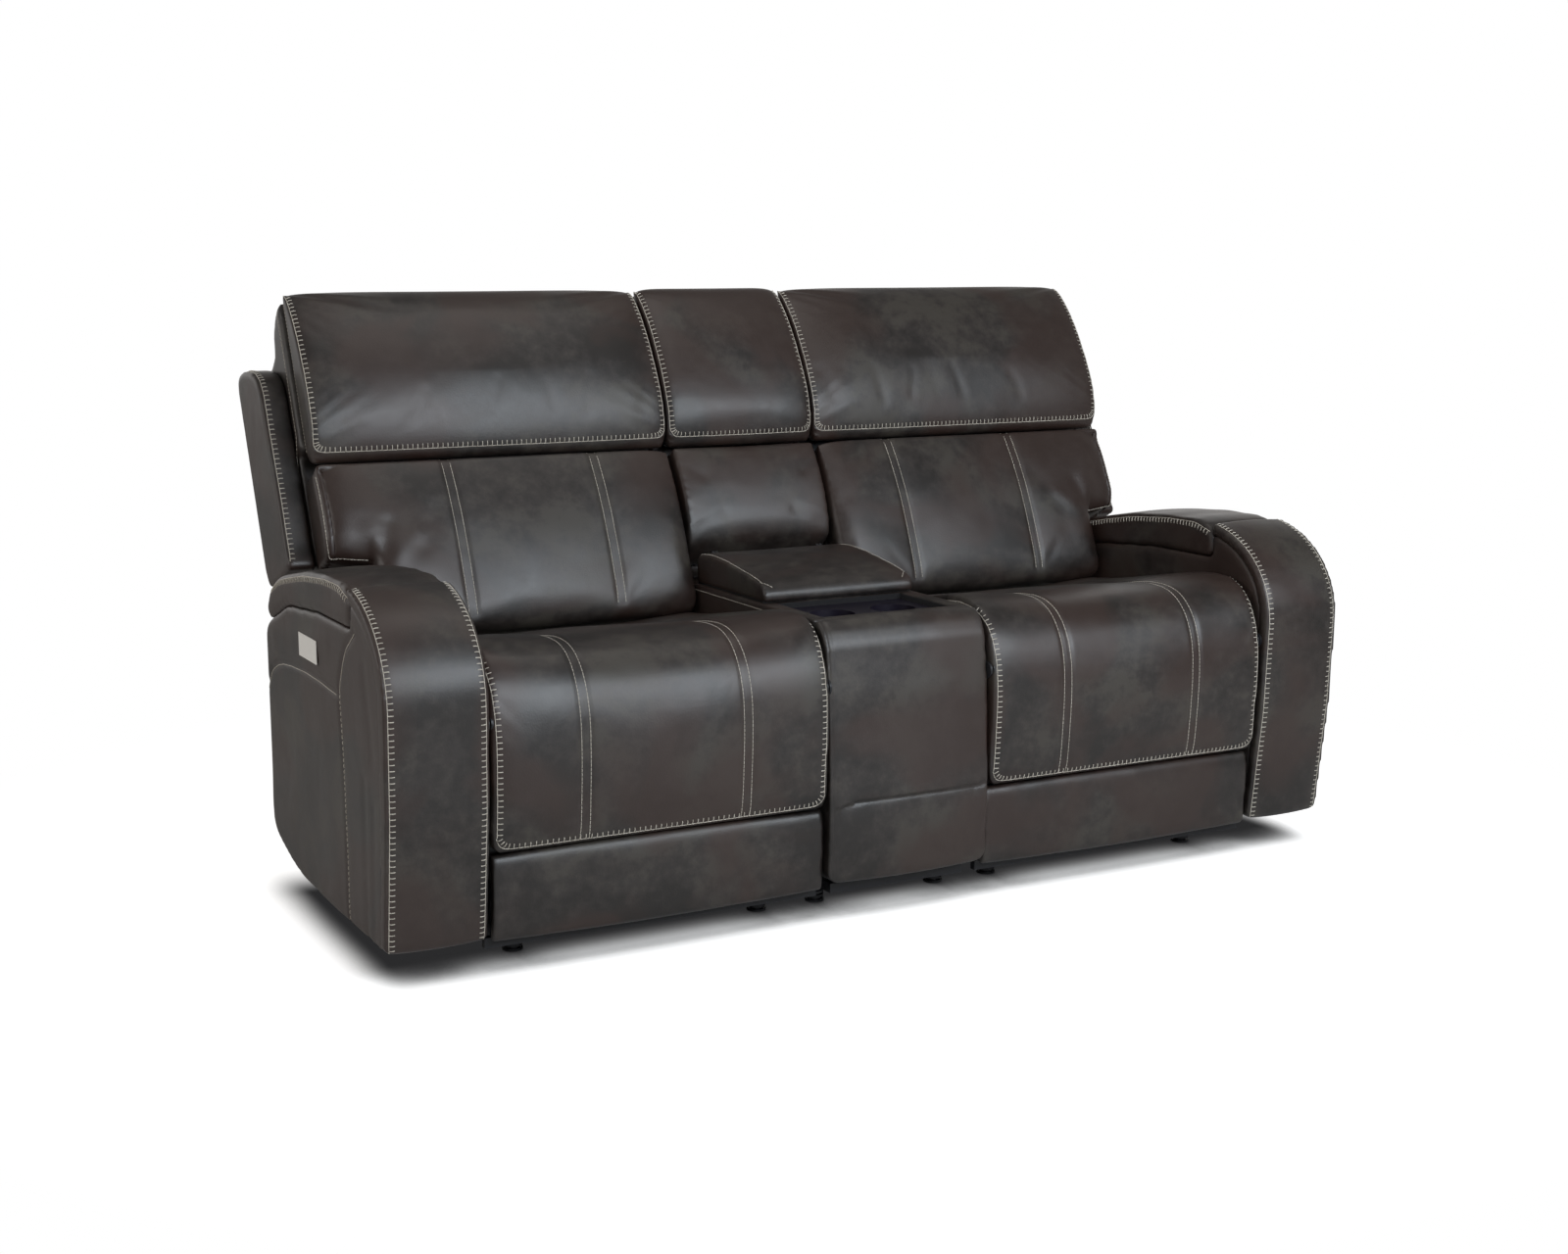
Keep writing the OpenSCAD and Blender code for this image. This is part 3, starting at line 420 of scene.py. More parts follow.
arm_skin = upholstered(extruded("left_arm_side", [
    (cut_pattern(yz(arm_outline), 0.012), ARM_OUT + 0.003, ARM_IN - 0.001)]), 0.006, 6)
side_seams = [
    [(139, 575), (188, 544), (210, 517), (230, 480), (237, 457)],
    [(237, 457), (228, 380), (222, 260), (220, 160), (222, 64)],
    [(700, 388), (663, 428), (622, 445), (580, 454), (510, 460), (439, 463), (337, 462), (251, 457)]]
side_seams = [[(ARM_OUT, y, z) for y, z in yz(line)] for line in side_seams]
for line in side_seams:
    pressed(arm_skin, line, 0.0060, 0.0042)
for y0, z0, y1, z1, wide, deep in ((117, 62, 112, 330, 14, 2.2), (80, 70, 62, 300, 12, 1.8),
                                   (60, 380, 92, 520, 16, 2.0), (300, 530, 640, 500, 22, -1.6),
                                   (480, 250, 660, 150, 60, -2.0), (300, 90, 330, 380, 50, -1.5)):
    (a, b), (c, d) = yz([(y0, z0), (y1, z1)])
    pressed(arm_skin, [(ARM_OUT, a, b), (ARM_OUT, c, d)], wide / 1000, deep / 1000)

panel_skin = upholstered(extruded("left_arm_front", [
    (cut_pattern(yz(panel_outline), 0.010, 0.005), ARM_OUT - 0.0005, ARM_IN + 0.0005)]), 0.005, 4)
swollen(panel_skin, 0.004, ARM_OUT, ARM_IN)
rounded_corners(panel_skin, (ARM_OUT + ARM_IN) / 2, (ARM_IN - ARM_OUT) / 2, 0.060, 0.016)
panel_face = yz(whip_over(0) + [(158, arch_top(158, 0))])
panel_edges = [[(x, y, z) for y, z in panel_face] for x in (ARM_OUT + 0.007, ARM_IN - 0.006)]
for line in panel_edges:
    pressed(panel_skin, line, 0.004, 0.0012)

pad_skin = upholstered(extruded("left_arm_top", [
    (cut_pattern(yz(pad_outline), 0.020), ARM_OUT + 0.002, ARM_IN - 0.002)]), 0.006, 10)
swollen(pad_skin, 0.004, ARM_OUT, ARM_IN)
pad_face = yz([(170, 636), (219, 650), (308, 649), (429, 638), (520, 623), (596, 608), (654, 584)])
pad_edges = [[(x, y, z - 0.006) for y, z in pad_face] for x in (ARM_OUT + 0.002, ARM_IN - 0.002)]
for line in pad_edges:
    pressed(pad_skin, line, 0.005, 0.0015)
for y, deep in ((250, 1.5), (400, -1.2), (520, 1.2)):
    a, b = yz([(y, 650)])[0]
    pressed(pad_skin, [(ARM_OUT, a, b), (ARM_IN, a + 0.03, b)], 0.03, deep / 1000)


# Leather: bovine hide, corrected and pigment-coated, then wiped so that dark brown, charcoal and
# olive clouds show. Fine pebble grain, semi-gloss coat; the eye reads soft cool highlights.
COAT_ROUGHNESS, GRAIN_MM = 0.44, 1.6
espresso, hide = blank_material("espresso pigmented leather")
place = add_node(hide, "ShaderNodeTexCoord").outputs["Object"]
cloud = add_node(hide, "ShaderNodeTexNoise", values={
    "Vector": place, "Scale": 7.0, "Detail": 4.0, "Roughness": 0.55, "Distortion": 0.4})
fleck = add_node(hide, "ShaderNodeTexNoise", values={
    "Vector": place, "Scale": 44.0, "Detail": 5.0, "Roughness": 0.65})
both = add_node(hide, "ShaderNodeMix", {"data_type": "FLOAT"}, {
    "Factor": 0.36, 2: cloud.outputs["Fac"], 3: fleck.outputs["Fac"]})
ramp = add_node(hide, "ShaderNodeValToRGB", values={"Fac": both})
stops = ramp.color_ramp.elements
stops[0].position, stops[0].color = 0.42, hex_colour("#1c1714")
stops[1].position, stops[1].color = 0.58, hex_colour("#3a352f")
stops.new(0.5).color = hex_colour("#2b2522")
patch = add_node(hide, "ShaderNodeTexNoise", values={
    "Vector": place, "Scale": 4.3, "Detail": 2.0, "Roughness": 0.5, "Distortion": 0.6})
share = add_node(hide, "ShaderNodeMapRange", values={
    "Value": patch.outputs["Fac"], 1: 0.45, 2: 0.58, 3: 0.0, 4: 0.75})
dye = add_node(hide, "ShaderNodeMix", {"data_type": "RGBA"}, {
    "Factor": share, 6: ramp.outputs["Color"], 7: hex_colour("#34241e")})
cells = add_node(hide, "ShaderNodeTexVoronoi", values={
    "Vector": place, "Scale": 1000 / (GRAIN_MM * 2.2), "Randomness": 0.9})
dents = add_node(hide, "ShaderNodeTexNoise", values={
    "Vector": place, "Scale": 9.0, "Detail": 1.5, "Roughness": 0.4, "Distortion": 0.5})
sheen = add_node(hide, "ShaderNodeMapRange", values={
    "Value": both, 1: 0.3, 2: 0.7, 3: COAT_ROUGHNESS - 0.06, 4: COAT_ROUGHNESS + 0.08})
grain = add_node(hide, "ShaderNodeBump", values={
    "Height": cells.outputs["Distance"], "Strength": 0.16, "Distance": 0.0006})
rumple = add_node(hide, "ShaderNodeBump", values={
    "Height": dents.outputs["Fac"], "Normal": grain, "Strength": 0.30, "Distance": 0.010})
skin = add_node(hide, "ShaderNodeBsdfPrincipled", values={
    "Base Color": dye.outputs[2], "Roughness": sheen, "Normal": rumple, "IOR": 1.5,
    "Specular IOR Level": 0.66, "Coat Weight": 0.10, "Coat Roughness": 0.30})
add_node(hide, "ShaderNodeOutputMaterial", values={"Surface": skin})


def finished(piece, body, nodes):
    """The last calls for a leather piece: material, CAD nodes it stands for, and body."""
    piece.data.materials.clear()
    piece.data.materials.append(espresso)
    if nodes:
        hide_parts(*nodes)
    if body:
        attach(piece, body)


for skin, node, fill, whips in ((arm_skin, "arm", 0.9, []), (panel_skin, "arm_panel", 0.9, panel_edges),
                                (pad_skin, "arm_pad", 0.8, pad_edges)):
    for side, piece in both_ends(skin):
        tree = on_skin(piece)
        inward = at_end(side, [((ARM_OUT + ARM_IN) / 2, FOOT_Y + 0.1, 0.4)])[0]
        for line in whips:
            blanket_stitch("base", tree, at_end(side, line), inward)
        if node == "arm":
            for k, line in enumerate(side_seams):
                beside = [(x, y - 0.004 * (k < 2), z - 0.004 * (k == 2)) for x, y, z in line]
                kind, pitch = ("heavy", 0.0098) if k == 1 else ("line", 0.0055)
                sew("base", kind, tree, at_end(side, beside), pitch, 0.0008)
        finished(piece, "base", [f"{side}_{node}"])

# Seat covers: a foam seat with springs below, its leather running over the front roll and down
# the footrest board. Two sewn channels run front to back, and the open edges are whipped.
# Metres: the seat's middle, half its pad, half the bay it lies in, and a channel's place beside its middle.
SEAT_X, HALF_PAD, HALF_BAY, BAND = -0.490, 0.316, 0.3205, 0.152
cover_outline = [(6, 208), (37, 206), (37, 300), (37, 420), (39, 450), (50, 461.5), (300, 461.5),
                 (560, 461.5), (566, 466), (552, 474), (480, 482), (420, 490), (340, 505), (245, 522),
                 (170, 536), (115, 541), (78, 538), (48, 527), (24, 509), (6, 486), (-6, 458), (-13, 430),
                 (-15, 400), (-15, 355), (-12, 305), (-8, 255), (-4, 222)]


def puffed(piece, fixed, pressure, cap, limits=None, voxel=0.008):
    """Foam and fibre pushing the leather out: cloth under pressure, held where fixed is true."""
    before = points_of(upholstered(piece, voxel, 4))
    held = piece.vertex_groups.new(name="held")
    for i in np.nonzero(fixed(before))[0]:
        held.add([int(i)], 1.0, "REPLACE")
    cloth = piece.modifiers.new("cloth", "CLOTH")
    cloth.settings.quality = 5
    cloth.settings.mass = 0.4
    cloth.settings.tension_stiffness = cloth.settings.compression_stiffness = 18
    cloth.settings.bending_stiffness = 1.2
    cloth.settings.use_pressure = True
    cloth.settings.uniform_pressure_force = pressure
    cloth.settings.effector_weights.gravity = 0
    cloth.settings.vertex_group_mass = "held"
    cloth.collision_settings.use_collision = False
    cloth.point_cache.frame_start, cloth.point_cache.frame_end = 1, 20
    for step in range(1, 21):
        scene.frame_set(step)
    settled(piece)
    piece.vertex_groups.clear()
    scene.frame_set(1)
    moved = points_of(piece) - before
    far = np.linalg.norm(moved, axis=1)
    moved *= np.minimum(1, cap / np.maximum(far, 1e-9))[:, None]
    after = before + moved
    if limits:
        after = np.clip(after, *limits)
    put_points(piece, after)
    ease = piece.modifiers.new("ease", "SMOOTH")
    ease.factor, ease.iterations = 0.5, 3
    finer = piece.modifiers.new("finer", "SUBSURF")
    finer.levels = finer.render_levels = 1
    return settled(piece)


cover_top = yz([(470, 484), (420, 490), (340, 505), (245, 522), (170, 536), (115, 541), (78, 538),
                (48, 527), (24, 509), (6, 486), (-6, 458), (-13, 430), (-15, 400), (-15, 355), (-12, 305),
                (-8, 255), (-4, 212)])


def held_seat(co):
    band = np.abs(np.abs(co[:, 0] - SEAT_X) - BAND) < 0.008
    y, z = co[:, 1] - FOOT_Y, co[:, 2]
    under = (z < 0.466) & (y > 0.03)
    return band | under | (y > 0.53) | (z < 0.215) | (np.abs(co[:, 0] - SEAT_X) > HALF_PAD - 0.003)


seat_cover = extruded("left_seat_cover", [
    (cut_pattern(yz(cover_outline), 0.010, 0.006), SEAT_X - HALF_PAD - 0.0015, SEAT_X + HALF_PAD + 0.0015)])
puffed(seat_cover, held_seat, 4.0, 0.011, ((SEAT_X - HALF_BAY, -1, 0.2), (SEAT_X + HALF_BAY, 1, 0.56)))
eased_ends(seat_cover, SEAT_X - HALF_PAD, SEAT_X + HALF_PAD, 0.004, 10)
co, no = points_of(seat_cover), normals_of(seat_cover)
co[:, 2] += 0.016 * np.abs((co[:, 0] - SEAT_X) / HALF_PAD) ** 2.5 * np.clip(1.4 * no[:, 2] - 0.2, 0, 1)
put_points(seat_cover, co)
rounded_corners(seat_cover, SEAT_X, HALF_PAD, 0.205, 0.032)
bands = [[(SEAT_X + s * BAND + d, y, z) for y, z in cover_top] for s in (-1, 1) for d in (-0.008, 0.008)]
band_grooves = [[(SEAT_X + s * BAND, y, z) for y, z in cover_top] for s in (-1, 1)]
for line in band_grooves:
    pressed(seat_cover, line, 0.010, 0.0016)
for line in bands:
    pressed(seat_cover, line, 0.0042, 0.0016)
for x0, y0, x1, y1, wide, deep in ((-0.24, 330, -0.19, 420, 14, 2.5), (0.24, 330, 0.19, 420, 14, 2.5),
                                   (-0.28, 250, -0.22, 330, 12, 2.0), (0.10, 380, 0.0, 430, 16, 1.6),
                                   (-0.10, 390, -0.02, 420, 16, 1.6)):
    pressed(seat_cover, [(SEAT_X + x0, y0 / 1000 + FOOT_Y, 0.515), (SEAT_X + x1, y1 / 1000 + FOOT_Y, 0.495)],
            wide / 1000, deep / 1000)
edge_x = HALF_PAD - 0.0055
cover_edges = [[(SEAT_X + s * edge_x, y, z) for y, z in cover_top[4:-1] + yz([(-6, 238)])] for s in (-1, 1)]
front_y = FOOT_Y - 0.003
corner = [(SEAT_X - edge_x + 0.024 * (1 - math.cos(a)), front_y, 0.236 - 0.024 * math.sin(a))
          for a in np.linspace(0, math.pi / 2, 6)]
bottom_edge = corner + [(2 * SEAT_X - x, y, z) for x, y, z in corner[::-1]]
for side, cover in both_ends(seat_cover):
    tree = on_skin(cover)
    holder = f"{side}_seat_cover"
    for line in bands:
        sew(holder, "run", tree, at_end(side, line))
    for line in cover_edges + [bottom_edge]:
        blanket_stitch(holder, tree, at_end(side, line), at_end(side, [(SEAT_X, FOOT_Y + 0.02, 0.45)])[0])
    finished(cover, None, [f"{side}_seat_pad", f"{side}_chaise_pad"])

deck = upholstered(extruded("left_seat_deck", [
    (cut_pattern(yz([(57.5, 392.5), (562, 392.5), (562, 461), (57.5, 461)]), 0.008),
     SEAT_X - HALF_PAD + 0.002, SEAT_X + HALF_PAD - 0.002)]), 0.010, 2)
for side, piece in both_ends(deck):
    finished(piece, "base", [])
for side in ("left", "right"):
    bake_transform(bpy.data.objects[f"{side}_seat_cover"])

# Kick panels: a lightly padded board under each seat's cover, on the same footrest board.
kick_outline = [(20, 52), (37, 52), (37, 203), (22, 203), (15, 196), (12, 178), (13, 120), (16, 68)]
kick = upholstered(extruded("left_kick_cover", [
    (cut_pattern(yz(kick_outline), 0.008, 0.005), SEAT_X - 0.312, SEAT_X + 0.317)]), 0.005, 4)
swollen(kick, 0.004, SEAT_X - 0.304, SEAT_X + 0.304)
for x, wide, deep in ((-0.2, 30, 1.2), (-0.05, 26, -1.0), (0.14, 34, 1.3), (0.24, 22, -1.0)):
    pressed(kick, [(SEAT_X + x, FOOT_Y + 0.012, 0.08), (SEAT_X + x + 0.02, FOOT_Y + 0.012, 0.18)],
            wide / 1000, deep / 1000)
for side, piece in both_ends(kick):
    finished(piece, f"{side}_footrest", [f"{side}_kick_panel"])

# Back cushions: a fibre-filled lumbar cushion in one T-shaped cover, which widens over the arm,
# with two sewn channels. It hangs on the steel back frame and leans with it.
LEAN = math.radians(24)


def slope(points):
    """Points of the back in millimetres, u square to its slope and v up from its pivot, as (Y, Z)."""
    return yz([(600 + u * math.cos(LEAN) + v * math.sin(LEAN),
                430 - u * math.sin(LEAN) + v * math.cos(LEAN)) for u, v in points])


def folded(piece, x_mid, u, folds):
    """Folds pressed into a back cushion's face, u from its slope: each from (x0, v0) to (x1, v1),
    with its width and depth in millimetres."""
    for x0, v0, x1, v1, wide, deep in folds:
        (a, b), (c, d) = slope([(u, v0), (u, v1)])
        pressed(piece, [(x_mid + x0, a, b), (x_mid + x1, c, d)], wide / 1000, deep / 1000)


lumbar_outline = [(-103, 30), (-60, 24), (-20.5, 30), (-20.5, 356), (-50, 360), (-76, 360), (-88, 367),
                  (-97, 367), (-102, 355), (-107, 330), (-114, 290), (-120, 237), (-121, 165), (-118, 90),
                  (-114, 50)]
over_outline = [(-8.5, 172), (-60, 172), (-90, 174), (-106, 186), (-116, 222), (-114, 290),
                (-107, 330), (-102, 355), (-97, 367), (-88, 367), (-76, 360), (-40, 360), (-8.5, 356)]
OVER_ARM = SEAT_X - 0.4055
lumbar = extruded("left_lumbar_cover", [
    (cut_pattern(slope(lumbar_outline), 0.016), SEAT_X - 0.317, SEAT_X + 0.317),
    (cut_pattern(slope(over_outline), 0.016), OVER_ARM, SEAT_X - 0.300)])


def uv_of(co):
    y, z = co[:, 1] - FOOT_Y - 0.600, co[:, 2] - 0.430
    return y * math.cos(LEAN) - z * math.sin(LEAN), y * math.sin(LEAN) + z * math.cos(LEAN)


def held_lumbar(co):
    u, v = uv_of(co)
    band = (np.abs(np.abs(co[:, 0] - SEAT_X) - BAND) < 0.008) & (u < -0.08)
    over = (co[:, 0] < OVER_ARM + 0.008) | ((np.abs(v - 0.172) < 0.006) & (co[:, 0] < SEAT_X - 0.33))
    return band | over | (u > -0.04) | (v > 0.362)


puffed(lumbar, held_lumbar, 4.5, 0.020, ((OVER_ARM - 0.002, -1, 0.4), (SEAT_X + HALF_BAY, 1, 1)))
co, no = points_of(lumbar), normals_of(lumbar)
near_end = np.clip((OVER_ARM + 0.085 - co[:, 0]) / 0.085, 0, 1)
put_points(lumbar, co - no * (0.020 * near_end ** 2.2 * np.clip(-2 * no[:, 1], 0, 1))[:, None])
eased_ends(lumbar, SEAT_X - 0.9, SEAT_X + 0.317, 0.009, 24)
lumbar_face = slope([(-92, 368), (-98, 366), (-103, 355), (-108, 330), (-115, 290), (-121, 237), (-122, 165),
                     (-119, 100), (-114, 50)])
lumbar_bands = [[(SEAT_X + s * BAND + d, y, z) for y, z in lumbar_face]
                for s in (-1, 1) for d in (-0.008, 0.008)]
for s in (-1, 1):
    pressed(lumbar, [(SEAT_X + s * BAND, y, z) for y, z in lumbar_face], 0.010, 0.0014)
for line in lumbar_bands:
    pressed(lumbar, line, 0.0042, 0.0016)
folded(lumbar, SEAT_X, -124, (
    (-0.350, 168, -0.345, 240, 24, 2.0), (-0.312, 168, -0.290, 236, 17, 3.2),
    (-0.330, 210, -0.322, 280, 22, -1.4), (-0.278, 172, -0.236, 212, 18, -2.0),
    (-0.235, 190, -0.19, 260, 22, 1.6), (0.29, 240, 0.30, 320, 22, 2.0)))
over_edge = slope([(-80, 366), (-86, 345), (-92, 310), (-95, 270), (-95, 225), (-88, 190), (-80, 176)])
over_edge = [(OVER_ARM + 0.003, y, z) for y, z in over_edge]
over_edge += [(OVER_ARM + 0.006 + t, *slope([(-92, 173)])[0]) for t in (0.02, 0.045, 0.070)]
pressed(lumbar, over_edge, 0.005, 0.0016)
for side, piece in both_ends(lumbar):
    tree = on_skin(piece)
    for line in lumbar_bands:
        sew(f"{side}_back", "run", tree, at_end(side, line))
    sew(f"{side}_back", "run", tree, at_end(side, over_edge))
    finished(piece, f"{side}_back", [f"{side}_lumbar", f"{side}_bolster"])

# Headrest pillows: a moulded foam roll on a plywood board, boxed with a side gusset. The face
# panel is whipped down both sides and along its lower edge, where it stands over the lumbar.
pillow_outline = [(-98, 382), (-86, 373), (-72, 370), (-58, 378), (-46.5, 390), (-46.5, 540), (-46.5, 700),
                  (-47, 722), (-51, 727), (-60, 727), (-73, 718), (-86, 697), (-99, 664), (-110, 627),
                  (-118, 583), (-124, 532), (-127, 485), (-125, 448), (-118, 419), (-109, 397)]
pillow_face = [(-51, 724), (-60, 721), (-71, 711), (-82, 690), (-94, 658), (-104, 623), (-111, 582),
               (-117, 532), (-118, 485), (-116, 449), (-111, 423), (-105, 403), (-101, 396)]


def pillow(name, x0, x1, clear):
    """One headrest pillow between two ends, kept inside its clear width."""
    block = extruded(name, [(cut_pattern(slope(pillow_outline), 0.012), x0 - 0.0005, x1 + 0.0005)])

    def gusset_held(co):
        u, v = uv_of(co)
        return (u > -0.050) | (v < 0.380) | (co[:, 0] < x0 + 0.010) | (co[:, 0] > x1 - 0.010)

    puffed(block, gusset_held, 3.0, 0.008, ((clear[0], -1, 0.4), (clear[1], 1, 1.1225)), 0.007)
    eased_ends(block, x0, x1, 0.010, 9)
    co, radius = points_of(block), 0.014
    v = uv_of(co)[1]
    x, up = np.abs(co[:, 0] - (x0 + x1) / 2) - (x1 - x0) / 2 + radius, v - v.max() + radius
    far = np.hypot(x, up)
    at = (x > 0) & (up > 0) & (far > radius)
    pull = np.where(at, 1 - radius / np.maximum(far, 1e-9), 0)
    co[:, 0] -= np.sign(co[:, 0] - (x0 + x1) / 2) * x * pull
    co[:, 1] -= up * pull * math.sin(LEAN)
    co[:, 2] -= up * pull * math.cos(LEAN)
    put_points(block, co)
    return block


def pillow_lines(x0, x1):
    """The whip seams of a pillow: down both sides and across its foot, as one line."""
    face = slope(pillow_face)
    foot = slope([(-101, 384)])[0]
    side = [(x0 + 0.003, y, z) for y, z in face]
    turn = [(x0 + 0.003 + 0.014 * (1 - math.cos(a)), foot[0] - 0.002, foot[1] + 0.014 * (1 - math.sin(a)))
            for a in np.linspace(0, math.pi / 2, 4)]
    half = side + turn
    return [half + [(x0 + x1 - x, y, z) for x, y, z in half[::-1]]]


head_x0, head_x1 = SEAT_X - 0.404, SEAT_X + 0.320
head = pillow("left_headrest_cover", head_x0, head_x1, (head_x0 - 0.003, -0.1685))
folded(head, SEAT_X, -124, (
    (-0.05, 450, -0.03, 510, 12, 1.0), (0.08, 450, 0.07, 500, 11, 0.9), (0.15, 440, 0.165, 510, 14, 1.1),
    (-0.2, 440, -0.18, 490, 14, 1.0), (0.27, 450, 0.29, 510, 18, 1.5)))
head_lines = pillow_lines(head_x0, head_x1)
for line in head_lines:
    pressed(head, line, 0.0045, 0.0014)
gusset_seam = [(head_x0 - 0.001, y, z) for y, z in slope([(-56, 700), (-55, 620), (-55, 500), (-56, 400)])]
for side, piece in both_ends(head):
    tree = on_skin(piece)
    for line in head_lines:
        blanket_stitch(f"{side}_headrest", tree, at_end(side, line),
                       at_end(side, [(SEAT_X, FOOT_Y + 0.75, 0.96)])[0])
    sew(f"{side}_headrest", "run", tree, at_end(side, gusset_seam))
    finished(piece, f"{side}_headrest", [f"{side}_headrest"])

# Back shells: the padded rear half of each back, over the frame's board, wider over the arm.
# A welt runs round its side, where the front cushions meet it.
shell_low = [(-8, 44), (138, 40), (138, -10), (150, -10), (156, 60), (156, 590), (142, 612), (50, 640),
             (42, 675), (4, 708), (-32, 716), (-32, 414), (-8, 414)]
shell_over = [(-8, 190), (150, 194), (156, 590), (142, 612), (50, 640), (42, 675), (4, 708),
              (-32, 716), (-32, 414), (-8, 414)]
shell = upholstered(extruded("left_back_cover", [
    (cut_pattern(slope(shell_low), 0.010), SEAT_X - 0.3175, SEAT_X + 0.3195),
    (cut_pattern(slope(shell_over), 0.010), SEAT_X - 0.4055, SEAT_X - 0.300)]), 0.007, 3)
welt = slope([(-24, 700), (-26, 608), (-26, 440), (-6, 405), (-3, 300), (-2, 196)])
welt = [(SEAT_X - 0.4055, y, z) for y, z in welt]
pressed(shell, welt, 0.006, -0.0018)
rear_seams = [[(SEAT_X + x, *slope([(157, v)])[0]) for v in (60, 200, 400, 585)] for x in (-0.2, 0.2)]
for line in rear_seams:
    pressed(shell, line, 0.006, 0.002)
for side, piece in both_ends(shell):
    tree = on_skin(piece)
    sew(f"{side}_back", "run", tree, [(p[0], p[1] + 0.010, p[2]) for p in at_end(side, welt)],
        0.0075, 0.0004)
    for line in rear_seams:
        sew(f"{side}_back", "run", tree, at_end(side, line), 0.0085, 0.0004)
    finished(piece, f"{side}_back", [f"{side}_back_shell"])

# Wings: narrow padded boards bolted to the back's outer side, behind the arm. Their front outer
# edge is whipped from the arm to the rounded top.
wing_outline = [(-20, 190), (60, 186), (139, 197), (151, 230), (151, 600), (145, 620), (130, 630),
                (90, 624), (40, 603), (9, 574), (-3, 540), (-4, 470), (-8, 400), (-12, 318), (-12, 230)]
wing_x0, wing_x1 = SEAT_X - 0.4595, SEAT_X - 0.4065
wing = upholstered(extruded("left_wing_cover", [
    (cut_pattern(slope(wing_outline), 0.014), wing_x0, wing_x1)]), 0.005, 5)
wing_edge = slope([(-12, 205), (-13, 318), (-9, 400), (-5, 470), (-4, 540), (8, 574), (38, 602), (90, 624)])
wing_edge = [(wing_x0 + 0.008, y, z) for y, z in wing_edge]
pressed(wing, wing_edge, 0.0045, 0.0014)
for side, piece in both_ends(wing):
    blanket_stitch(f"{side}_back", on_skin(piece), at_end(side, wing_edge),
                   at_end(side, [(wing_x1, FOOT_Y + 0.75, 0.8)])[0])
    finished(piece, f"{side}_back", [f"{side}_wing"])

# Centre back: fixed to the console, with the same pillow over a plain lumbar pad and its shell.
CENTRE, CENTRE_ROOM = 0.1655, 0.1675
centre_head = pillow("centre_headrest_cover", -CENTRE, CENTRE, (-CENTRE_ROOM, CENTRE_ROOM))
centre_lines = pillow_lines(-CENTRE, CENTRE)
for line in centre_lines:
    pressed(centre_head, line, 0.0045, 0.0014)
    blanket_stitch("base", on_skin(centre_head), line, (0, FOOT_Y + 0.75, 0.96))
finished(centre_head, "base", ["centre_headrest"])

pad_points = [(-84, 158), (-8.5, 133), (-8.5, 354), (-50, 361), (-76, 361), (-88, 367), (-96, 366),
              (-102, 345), (-108, 300), (-110, 250), (-105, 200), (-95, 168)]
centre_pad = extruded("centre_lumbar_cover", [
    (cut_pattern(slope(pad_points), 0.014), -CENTRE + 0.003, CENTRE - 0.003)])
puffed(centre_pad, lambda co: (uv_of(co)[0] > -0.03) | (np.abs(co[:, 0]) > CENTRE - 0.006), 3.5, 0.020,
       ((-CENTRE_ROOM, -1, 0.4), (CENTRE_ROOM, 1, 1)))
folded(centre_pad, 0, -120, (
    (-0.15, 190, -0.08, 215, 12, 3.0), (0.15, 190, 0.08, 215, 12, 3.0),
    (-0.155, 330, -0.11, 300, 12, 2.5), (0.155, 330, 0.12, 300, 12, 2.5)))
finished(centre_pad, "base", ["centre_lumbar"])


def eased_copy(node, name, radius, steps=3):
    """A leather-covered board: the CAD solid's own shape, with its edges rolled to a radius."""
    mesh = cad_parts[node].data.copy()
    work = bmesh.new()
    work.from_mesh(mesh)
    bmesh.ops.remove_doubles(work, verts=work.verts, dist=1e-5)
    bmesh.ops.dissolve_limit(work, angle_limit=0.01, verts=work.verts, edges=work.edges)
    sharp = [e for e in work.edges if len(e.link_faces) == 2 and e.calc_face_angle(0) > 0.5]
    bmesh.ops.bevel(work, geom=sharp, offset=radius, offset_type="OFFSET", segments=steps,
                    profile=0.5, affect="EDGES", clamp_overlap=True)
    bmesh.ops.triangulate(work, faces=[f for f in work.faces if len(f.verts) > 4])
    work.to_mesh(mesh)
    work.free()
    mesh.materials.clear()
    mesh.shade_smooth()
    mesh.set_sharp_from_angle(angle=0.6)
    return in_scene(name, mesh)


centre_rear = eased_copy("centre_shell", "centre_back_cover", 0.007)
finished(centre_rear, "base", ["centre_shell"])

# Rear panel: a leather-covered board screwed across the frame's rear between the arms.
rear_board = eased_copy("rear_panel", "rear_board_cover", 0.004)
finished(rear_board, "base", ["rear_panel"])

# Console: a leather-wrapped box with a padded front, which is welted at its left edge and tucked
# in a fold near the floor. A line of stitching runs under the rim.
console_box = eased_copy("console_box", "console_box_cover", 0.005)
box_tree = on_skin(console_box)
for x in (-0.168, 0.168):
    rim_line = [(x, y, 0.531) for y, _ in yz([(72, 0), (216, 0), (400, 0), (620, 0)])]
    sew("base", "run", box_tree, rim_line, 0.0075, 0.0004)
finished(console_box, "base", ["console_box"])

